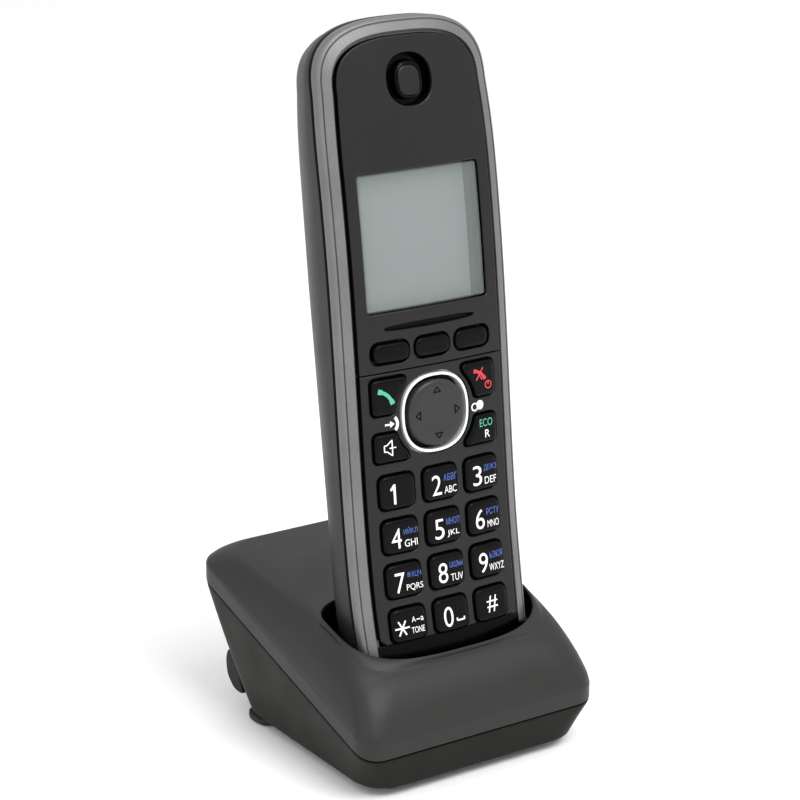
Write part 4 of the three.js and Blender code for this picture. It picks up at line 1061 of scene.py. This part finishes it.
def bent_part(piece, cut=(60.0, 4.0)):
    cut_into_strips(piece, *cut)
    return outward(with_tree(piece, BENDER, None))


ON_SLOPE = Matrix([
    [1, 0, 0, 0],
    [0, math.cos(SLOPE), math.sin(SLOPE), 20.0],
    [0, -math.sin(SLOPE), math.cos(SLOPE), -DEPTH["Foot depth"]],
    [0, 0, 0, 1],
])


def bay_box(half, low, high, b0, b1, radius=0.8):
    outline = rounded(rectangle(-half, half, low, high), radius, 6)
    made = prism("bay", outline, b0, b1)
    made.data.transform(ON_SLOPE)
    return made


def back_depth(v):
    depth = DEPTH["Foot depth"]
    for start, end, slope in BACK_SLOPES:
        depth += (min(max(v, start), end) - (end if start < 0 else start)) * slope
    return depth


outer, inner = case_body("handset_case", 0.0, 0.0), case_body("inside", WALL, 1.2)
legs = float(half_width(4.9)) - 3.65
openings = [bent_part(box("front", -30, 30, 4.65, 160, -4.4, 8)),
            bent_part(box("right", legs, 30, 2.25, 160, -4.4, 8)),
            bent_part(box("left", -30, -legs, 2.25, 160, -4.4, 8))]
tray = combine(bay_box(16.9, 2.4, 62.1, 1.2, 3.6), [bay_box(12.1, 5.4, 58.1, 2, 13.55)], "UNION")
whole = outer.copy()
whole.data = outer.data.copy()
bpy.context.scene.collection.objects.link(whole)
combine(tray, [whole], "INTERSECT")
combine(outer, [inner] + openings)
combine(outer, [tray], "UNION")
print("case shell:", len(outer.data.polygons), "faces")

# %% Openings in the back, and the finished case
SCREW_U, SCREW_V, SPEAKER_V, CONTACT_U, CONTACT_W = 13.0, 128.0, 104.0, 7.0, -8.0
cuts = [bay_box(BAY["pocket_half"], *BAY["pocket"], -2, BAY["deep"]),
        bay_box(BAY["door_half"] + GAP, BAY["door"][0] - GAP, BAY["door"][1] + GAP, -4, WALL + 0.9, 1.8)]
for k in range(5):
    v = SPEAKER_V + (k - 2) * 3
    slot = pill(0, v + 0.65, 8 - abs(k - 2) * 1.4, 0.65, 0.6)
    low = -back_depth(v) - 1
    cuts.append(prism("slot", slot, low, low + 5))
for side in (-1, 1):
    u = side * CONTACT_U
    cuts.append(box("contact", u - 2.6, u + 2.6, LOW_END - 3, LOW_END + 3, CONTACT_W - 2.2, CONTACT_W + 2.2))
    well = oval(1.9, 1.9, 2, side * SCREW_U, SCREW_V, 32)
    cuts.append(prism("well", well, -back_depth(SCREW_V) - 2, -back_depth(SCREW_V) + 8))
combine(outer, cuts)
outer.data.materials.clear()
outer.data.materials.append(FINISH["satin_charcoal"])
BACK_TO_DRAWING = np.array(STAND.inverted())


def drawn(points):
    """Points of the standing handset, back on its drawing board."""
    return points @ BACK_TO_DRAWING[:3, :3].T + BACK_TO_DRAWING[:3, 3]


# Painted shadow: the front of the case's chin, low in the cup, gets the black finish for the cup's shadow.
def chin(centres, normals):
    u, v, w = drawn(centres).T
    return (v < 4.8) & (w > -3.0) & (normals @ OUT > 0.25)


smooth(stand(outward(outer)), 30)
settle(blackened(darken(outer, chin)), "handset", "charcoal_shell", "handset_rear_cover")

# %% [markdown]
# ## Battery door and cells
# The door is cut from the same shell, so its outside runs on from the case without a step. Its
# finger grip is a row of short grooves, made by the copying tree.

# %% The battery door
door_outer, door_inner = case_body("battery_door", 0.0, 0.0), case_body("inside", WALL - 0.2, 1.2)
combine(door_outer, [door_inner])
combine(door_outer, [bay_box(BAY["door_half"], *BAY["door"], -4, WALL + 0.6, 1.5)], "INTERSECT")
groove = prism("groove", pill(0, 0, 5.0, 0.45, 0.4), -1.0, 0.5)
grip = copies("grip", groove, [(0, BAY["door"][1] - 4.6 - 2.2 * k) for k in range(4)])
grip.data.transform(ON_SLOPE)
combine(door_outer, [grip])
door_outer.data.materials.clear()
door_outer.data.materials.append(FINISH["satin_charcoal"])
settle(smooth(stand(outward(door_outer)), 30), "battery_door", "charcoal_shell", "handset_battery_door")

# %% [markdown]
# The two cells are small metal cans in a printed sleeve. They lie head to tail, so the second is
# the first one turned round. A turned part is a profile swept about its own axis.

# %% Two cells
CELL_LENGTH, CELL_SIDE, CELL_DEEP, CELL_LOW = 44.5, 5.55, 7.4, 9.4


def turned(name, profile, count=48):
    """A closed solid turned about z from (radius, height) points; it starts and ends on the axis."""
    a = np.arange(count) / count * 2 * np.pi
    circle = np.stack([np.cos(a), np.sin(a)], 1)
    return stack(name, [(circle * r, h) for r, h in profile])


moulded("cell_sleeve", linear(54, 128, 86), (0.25, 0.35), 1800, 0.08, tint=0.08)


def cell(name, side):
    sleeve = [(4.0, 0.25), (4.85, 0.25), (5.15, 0.4), (5.25, 0.75), (5.25, 42.6), (5.15, 43.0), (4.9, 43.3),
              (4.2, 43.45)]
    steel = [(3.9, 0.0), (4.1, 0.1), (4.1, 43.4), (3.9, 43.5), (2.1, 43.5), (1.9, 43.7), (1.9, 44.2),
             (1.6, CELL_LENGTH)]
    parts = []
    for profile, finish in ((sleeve, "cell_sleeve"), (steel, "plated_steel")):
        part = turned(name, profile)
        part.data.materials.append(FINISH[finish])
        lay = Matrix.Rotation(-math.pi / 2, 4, "X")
        if side > 0:
            lay = Matrix.Translation((0, CELL_LENGTH, 0)) @ Matrix.Rotation(math.pi, 4, "Z") @ lay
        part.data.transform(ON_SLOPE @ Matrix.Translation((side * CELL_SIDE, CELL_LOW, CELL_DEEP)) @ lay)
        parts.append(smooth(stand(outward(part)), 40))
    return merged(name, parts)


settle(cell("cell_left", -1), "handset", "battery_label", "battery_left")
settle(cell("cell_right", 1), "handset", "battery_label", "battery_right")

# %% [markdown]
# ## The top of the cradle
# The cradle is one smooth skin: a short upright band at the seam, flanks that lean in, a sloping
# top, a rolled rim and the deep cup. All of its outlines go round the same middle, so we make one
# ring of points for each of them, with points in the same directions, and skin them in order.

# %% Heights and outlines of the cradle
case_low, case_high = (np.array(p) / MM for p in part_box("cradle_upper_case"))
FRONT, BACK, CRADLE_HALF = case_low[1], case_high[1], case_high[0]
BAND, FOOT_HEIGHT, CRADLE_TOP, BROW, SAG = 4.6, 2.0, 43.6, 33.8, 1.0
SEAM_FRONT, SEAM_SLOPE, SEAM_RADIUS, HALF_SEAM = 11, 0.3, 6, 0.15


def seam_height(y):
    return SEAM_FRONT + SEAM_SLOPE * (y - FRONT)


def dome_height(y):
    along = y - FRONT
    rise = np.clip((along - 8.5) / 69, 0, 1)
    steep = np.clip((27.5 - along) / 20, 0, 1.6)
    return BROW + (CRADLE_TOP - BROW) * rise - 4.6 * steep**1.6


def cradle_outline(side, front, back, radius):
    half = CRADLE_HALF - side
    return rounded(rectangle(-half, half, FRONT + front, BACK - back), radius, 40, 0.25)


def in_directions(points, middle, directions):
    """The points where rays from the middle meet a closed line (x, y and maybe more)."""
    offset = points[:, :2] - middle
    angle = np.arctan2(offset[:, 1], offset[:, 0])
    order = np.argsort(angle)
    return np.stack([np.interp(directions, angle[order], points[order, i], period=2 * np.pi)
                     for i in range(points.shape[1])], 1)


CUP = {"half": 27.4, "front": 5.9, "back": -20.52, "floor": -6.4, "power": 3.1}
CUP_MIDDLE_W = CUP["back"] + (CUP["front"] - CUP["back"]) * 0.45


def cup_points(turn, grow, v):
    """Points of the cup's wall at one height up the handset, in the cradle's own frame."""
    c, s = np.cos(turn), np.sin(turn)
    reach = np.where(s < 0, CUP["front"] - CUP_MIDDLE_W, CUP_MIDDLE_W - CUP["back"])
    u = np.sign(c) * np.abs(c) ** (2 / CUP["power"]) * (CUP["half"] + grow)
    w = CUP_MIDDLE_W - np.sign(s) * np.abs(s) ** (2 / CUP["power"]) * (reach + grow)
    v = np.broadcast_to(v, u.shape)
    return np.stack([u, ORIGIN[1] + v * UP[1] + w * OUT[1], ORIGIN[2] + v * UP[2] + w * OUT[2]], 1)


def cup_rim(turn, grow):
    """How far up the handset the cup's wall meets the sloping top."""
    v = np.full(len(turn), 8.0)
    for _ in range(30):
        p = cup_points(turn, grow, v)
        v = v + (dome_height(p[:, 1]) - p[:, 2]) / UP[2]
    return v


MIDDLE = np.array([0.0, cup_points(np.array([0.0]), 0, 8.0)[0, 1]])
seam_line = refined(cradle_outline(0, 0, 0, SEAM_RADIUS), 0.3)
walk = np.linspace(0, len(seam_line), 264, endpoint=False).astype(int)
DIRECTIONS = np.sort(np.arctan2(*(seam_line[walk] - MIDDLE).T[::-1]))
print("cradle between y =", round(FRONT, 2), "and", round(BACK, 2), "mm;", len(DIRECTIONS), "directions")

# %% Rings from the seam up, over the top and down into the cup
FLANK_SHARE = np.array([0, 0.02, 0.08, 0.3, 0.56, 0.8, 1.0])
FLANK_HEIGHT = np.array([0.86, 1.0, 1.17, 1.53, 1.79, 1.93, 2.0])
RIM_ROUND = 0.7


def gentle(values, at, wanted):
    """A smooth curve through a few values, without overshoot."""
    slope = np.gradient(values, at)
    k = np.clip(np.searchsorted(at, wanted) - 1, 0, len(at) - 2)
    h, t = at[k + 1] - at[k], (wanted - at[k]) / (at[k + 1] - at[k])
    a, b, m, n = values[k], values[k + 1], slope[k] * h, slope[k + 1] * h
    return a + m * t + (3 * (b - a) - 2 * m - n) * t**2 + (2 * (a - b) + m + n) * t**3


def flank_ring(height, share):
    share = float(share)
    line = cradle_outline(5.7 * share, 9.0 * share, 3.4 * share, SEAM_RADIUS + 5 * share)
    ring = in_directions(line, MIDDLE, DIRECTIONS)
    y = ring[:, 1]
    low = seam_height(y) + HALF_SEAM
    if height <= 1:
        z = low + height * BAND
    else:
        z = low + BAND + (np.maximum(dome_height(y) - SAG, low + BAND + 1) - low - BAND) * (height - 1)
    return np.column_stack([ring, z])


def cradle_rings():
    rings = [flank_ring(0.0, 0.04), flank_ring(0.05, 0.0)]
    rings += [flank_ring(h, 0.0) for h in np.linspace(0.15, 0.86, 5)]
    path = np.linspace(0, 1, 30)[1:]
    length = np.linspace(0, 1, len(FLANK_SHARE))
    rings += [flank_ring(gentle(FLANK_HEIGHT, length, np.array([t]))[0],
                         max(0.0, gentle(FLANK_SHARE, length, np.array([t]))[0])) for t in path]
    turn = np.linspace(-np.pi, np.pi, 4000, endpoint=False)
    top = cup_points(turn, RIM_ROUND, cup_rim(turn, RIM_ROUND))
    around = np.arctan2(*(top[:, :2] - MIDDLE).T[::-1])
    order = np.argsort(around)
    turns = np.interp(DIRECTIONS, around[order], np.unwrap(turn[order], period=2 * np.pi), period=2 * np.pi)
    rim_v = cup_rim(turns, RIM_ROUND)
    edge, rim = rings[-1], cup_points(turns, RIM_ROUND, rim_v)
    for t in np.linspace(0, 1, 16)[1:-1]:
        ring = edge[:, :2] * (1 - t) + rim[:, :2] * t
        rings.append(np.column_stack([ring, dome_height(ring[:, 1]) - SAG * (1 - t) ** 2]))
    for a in np.linspace(0, np.pi / 2, 7):
        rings.append(cup_points(turns, RIM_ROUND * (1 - np.sin(a)), rim_v - RIM_ROUND * (1 - np.cos(a))))
    wall_top, floor = rim_v - RIM_ROUND, CUP["floor"]
    for t in np.linspace(0, 1, 8)[1:]:
        rings.append(cup_points(turns, -0.3 * t, wall_top * (1 - t) + (floor + 1.6) * t))
    for t in (0.35, 0.7, 1.0):
        rings.append(cup_points(turns, -0.3 - 1.1 * t, floor + 1.6 * (1 - t) ** 2))
    for t in (0.75, 0.5, 0.25):
        middle = rings[-1].mean(0)
        rings.append(middle + (rings[-1] - middle) * (t if t == 0.75 else 0.65))
    return rings


def walled(piece, thickness):
    """Gives an open skin a wall on its inner side."""
    outward(piece)
    step = piece.modifiers.new("wall", "SOLIDIFY")
    step.thickness, step.offset, step.use_even_offset = thickness, -1.0, False
    return bake_modifiers(piece)


TO_METRES = Matrix.Scale(MM, 4)
cradle_top = walled(skin("cradle_top_shell", cradle_rings(), start_cap=False), 1.5)
cradle_top.data.materials.append(FINISH["satin_charcoal"])
cradle_top.data.transform(TO_METRES)
smooth(cradle_top, 40)


# Painted shade: the inner walls and floor of the cup get a near-black finish, as they lie in shadow.
def in_cup(centres, normals):
    u, v, w = drawn(centres).T
    reach = np.where(w > CUP_MIDDLE_W, CUP["front"] - CUP_MIDDLE_W, CUP_MIDDLE_W - CUP["back"])
    out = (np.abs(u) / (CUP["half"] + 0.3)) ** CUP["power"]
    out += (np.abs(w - CUP_MIDDLE_W) / (reach + 0.3)) ** CUP["power"]
    return (out < 1) & (v > CUP["floor"] - 0.3)


settle(blackened(darken(cradle_top, in_cup), "cup_black"), "cradle", "charcoal_shell", "cradle_upper_case")

# %% [markdown]
# ## The bottom of the cradle
# The bottom tapers to its feet and is a shell as well. At the back it has two hooks for the
# power lead and a round hole for its plug.

# %% The bottom case
BASE = {"side": 3.3, "front": 2.1, "back": 14.6, "radius": 9.5}
JACK_X, JACK_Z = -14.0, 12.0


def base_ring(height, extra=0.0):
    rest = 1 - height
    insets = [BASE[side] * rest + extra for side in ("side", "front", "back")]
    line = cradle_outline(*insets, SEAM_RADIUS + (BASE["radius"] - SEAM_RADIUS) * rest)
    ring = in_directions(line, MIDDLE, DIRECTIONS)
    z = FOOT_HEIGHT + (seam_height(ring[:, 1]) - HALF_SEAM - FOOT_HEIGHT) * height
    return np.column_stack([ring, z])


def back_wall_y(z):
    slope = BASE["back"] / (seam_height(BACK) - FOOT_HEIGHT)
    return BACK - BASE["back"] + slope * (z - FOOT_HEIGHT)


def cord_hook(side):
    x = side * (CRADLE_HALF - BASE["side"] - 2.4)
    b = back_wall_y(5.0)
    profile = rounded([(b - 1.2, 4.8), (b + 3.6, 4.8), (b + 7, 7.8), (b + 7.6, 12), (b + 6.6, 15),
                       (back_wall_y(15.0) - 1.2, 15.8)], 1.8, 8)
    hook = stack("hook", [(grown(profile, -0.4), -1.6), (grown(profile, -0.1), -1.45), (profile, -1.2),
                          (profile, 1.2), (grown(profile, -0.1), 1.45), (grown(profile, -0.4), 1.6)])
    hook.data.transform(Matrix([[0, 0, 1, x], [1, 0, 0, 0], [0, 1, 0, 0], [0, 0, 0, 1]]))
    return outward(hook)


floor_ring = base_ring(0.0, 1.3)
middle = floor_ring.mean(0)
bottom_rings = [middle + (floor_ring - middle) * t for t in (0.2, 0.6, 0.9)] + [floor_ring]
bottom_rings += [base_ring(0.0, 0.75) + [0, 0, 0.1], base_ring(0.012, 0.35), base_ring(0.03, 0.1)]
bottom_rings += [base_ring(h) for h in np.linspace(0.06, 0.97, 12)]
LIP_INSET, LIP_HEIGHT = 1.85, 1.2  # a lip stands behind the seam, so no light comes through
lip = base_ring(1.0, LIP_INSET)
bottom_rings += [base_ring(1.0, 0.12), lip, lip + [0, 0, LIP_HEIGHT]]
cradle_base = walled(skin("cradle_bottom_shell", bottom_rings, end_cap=False), 1.6)
combine(cradle_base, [cord_hook(-1), cord_hook(1)], "UNION", "EXACT")
jack = back_wall_y(JACK_Z)
hole = turned("hole", [(4.1, -6.0), (4.1, 4.4), (4.6, 5.2), (4.6, 8.0)])
hole.data.transform(Matrix.Translation((JACK_X, jack - 3.2, JACK_Z)) @ Matrix.Rotation(-math.pi / 2, 4, "X"))
combine(cradle_base, [outward(hole)], "DIFFERENCE", "EXACT")
cradle_base.data.materials.clear()
cradle_base.data.materials.append(FINISH["satin_warm_charcoal"])
cradle_base.data.transform(TO_METRES)
settle(smooth(cradle_base, 35), "cradle", "charcoal_base", "cradle_lower_case")

# %% [markdown]
# ## Feet and screws
# These repeat, so each is modelled once and copied on points that come from the CAD pieces.

# %% Feet and screws on the places of their CAD nodes
def middle_of(node):
    low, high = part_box(node)
    return (np.array(low) + np.array(high)) / 2 / MM


FEET = ["foot_front_left", "foot_front_right", "foot_rear_left", "foot_rear_right"]
foot_at = oval(4.1, 4.9, 2.6, 0, 0, 48)
foot = stack("foot", [(grown(foot_at, g), z) for g, z in (
    (-0.9, 0.1), (-0.5, 0.0), (-0.25, 0.1), (-0.08, 0.3), (0.0, 0.6), (0.0, 1.7))])
feet = copies("rubber_feet", outward(foot), [middle_of(n)[:2] for n in FEET], FINISH["matt_rubber"])
feet.data.transform(TO_METRES)
settle(smooth(feet), "cradle", "rubber", *FEET)


def screw_part():
    head = turned("screw", [(0.6, 0.05), (1.25, 0.0), (1.45, 0.12), (1.5, 0.3), (1.5, 0.9), (0.9, 1.0),
                            (0.9, 3.9), (0.5, 4.2)], 32)
    return combine(outward(head), [box("slot", -1.1, 1.1, -0.22, 0.22, -1, 0.5),
                                   box("slot", -0.22, 0.22, -1.1, 1.1, -1, 0.5)])


SCREWS = [f"cradle_screw_{k}" for k in range(1, 5)]
screws = copies("cradle_screws", screw_part(), [middle_of(n)[:2] for n in SCREWS], FINISH["plated_steel"])
screws.data.transform(Matrix.Translation((0, 0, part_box("cradle_screw_1")[0].z)) @ TO_METRES)
settle(smooth(screws), "cradle", "steel", *SCREWS)
case_screws = copies("handset_screws", screw_part(), [(-SCREW_U, SCREW_V), (SCREW_U, SCREW_V)],
                     FINISH["plated_steel"])
case_screws.data.transform(Matrix.Translation((0, 0, -back_depth(SCREW_V) + 1.2)))
settle(smooth(stand(case_screws)), "handset", "steel", "handset_screw_1", "handset_screw_2")

# %% [markdown]
# ## Pieces that keep their CAD shape
# The parts inside, and the power inlet, already have the right shape. They only need a finish,
# which we assign to the material slots of the CAD objects.

# %% Finishes for the carried-over pieces
KEPT = {
    "matt_rubber": ["handset_key_mat", "navigator_pivot"],
    "solder_mask_green": ["handset_main_board", "cradle_board"],
    "deep_gloss_black": ["cradle_power_inlet"],
    "plated_steel": ["handset_shield_can", "handset_earpiece_receiver", "handset_loudspeaker",
                     "handset_microphone", "handset_contact_left", "handset_contact_right",
                     "cradle_contact_left", "cradle_contact_right", "battery_contact_bridge",
                     "battery_contact_left", "battery_contact_right"],
}
for finish, names in KEPT.items():
    for name in names:
        for place in frame["nodes"][name].material_slots:
            place.material = FINISH[finish]
print("kept CAD pieces:", sum(len(names) for names in KEPT.values()))

# %% [markdown]
# ## Floor, light and camera
# A pale floor and a bright, even sky give the light of a product table. One large soft lamp from
# the upper right gives the faces their direction, and a weaker one fills the left.

# %% The floor
floor_mesh = bpy.data.meshes.new("floor")
SIZE = 4.0
corners = [(x, y, 0) for x, y in rectangle(-SIZE, SIZE, -SIZE, SIZE)]
floor_mesh.from_pydata(corners, [], [(0, 1, 2, 3)])
floor = make_object("floor", floor_mesh)
floor.location.z = -0.0002
moulded("pale_table", (0.96, 0.96, 0.96, 1), (0.7, 0.8), 300, 0.02, tint=0.01)
floor_mesh.materials.append(FINISH["pale_table"])
floor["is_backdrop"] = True
print("floor side:", 2 * SIZE, "m")

# %% Sky and lamps
sky = bpy.data.worlds.new("studio")
sky.use_nodes = True
sky.node_tree.nodes["Background"].inputs["Color"].default_value = (1, 1, 1, 1)
sky.node_tree.nodes["Background"].inputs["Strength"].default_value = 0.95
scene = bpy.context.scene
scene.world = sky
scene.view_settings.view_transform = "Standard"


def softbox(name, place, target, width, height, watts):
    data = bpy.data.lights.new(name, "AREA")
    data.shape, data.size, data.size_y, data.energy = "RECTANGLE", width, height, watts
    lamp = bpy.data.objects.new(name, data)
    lamp.location = place
    lamp.rotation_euler = (Vector(target) - Vector(place)).to_track_quat("-Z", "Y").to_euler()
    scene.collection.objects.link(lamp)
    return lamp


AIM = (0, -0.01, 0.08)
softbox("key_softbox", (0.1, -0.6, 0.9), AIM, 0.6, 0.6, 7.5)
softbox("fill_softbox", (-0.9, -0.4, 0.5), AIM, 0.5, 0.9, 1.2)

# %% The camera
CAMERA_AT = (-0.34000, -0.50251, 0.27882)
AZIMUTH, ELEVATION, ROLL = math.radians(-34.17), math.radians(17.73), math.radians(0.21)
lens_data = bpy.data.cameras.new("camera")
lens_data.lens, lens_data.sensor_width = 117.57, 36.0
camera = bpy.data.objects.new("camera", lens_data)
tilt = Matrix.Rotation(AZIMUTH, 4, "Z") @ Matrix.Rotation(math.pi / 2 - ELEVATION, 4, "X")
camera.matrix_world = Matrix.Translation(CAMERA_AT) @ tilt @ Matrix.Rotation(ROLL, 4, "Z")
scene.collection.objects.link(camera)
scene.camera = camera
print("camera lens:", lens_data.lens, "mm")

# %% [markdown]
# ## Sizes and the end
# We print the size of everything shown, in millimetres.

bpy.context.view_layer.update()
low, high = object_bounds()
print("size in mm:", [round(x / MM, 2) for x in high - low])
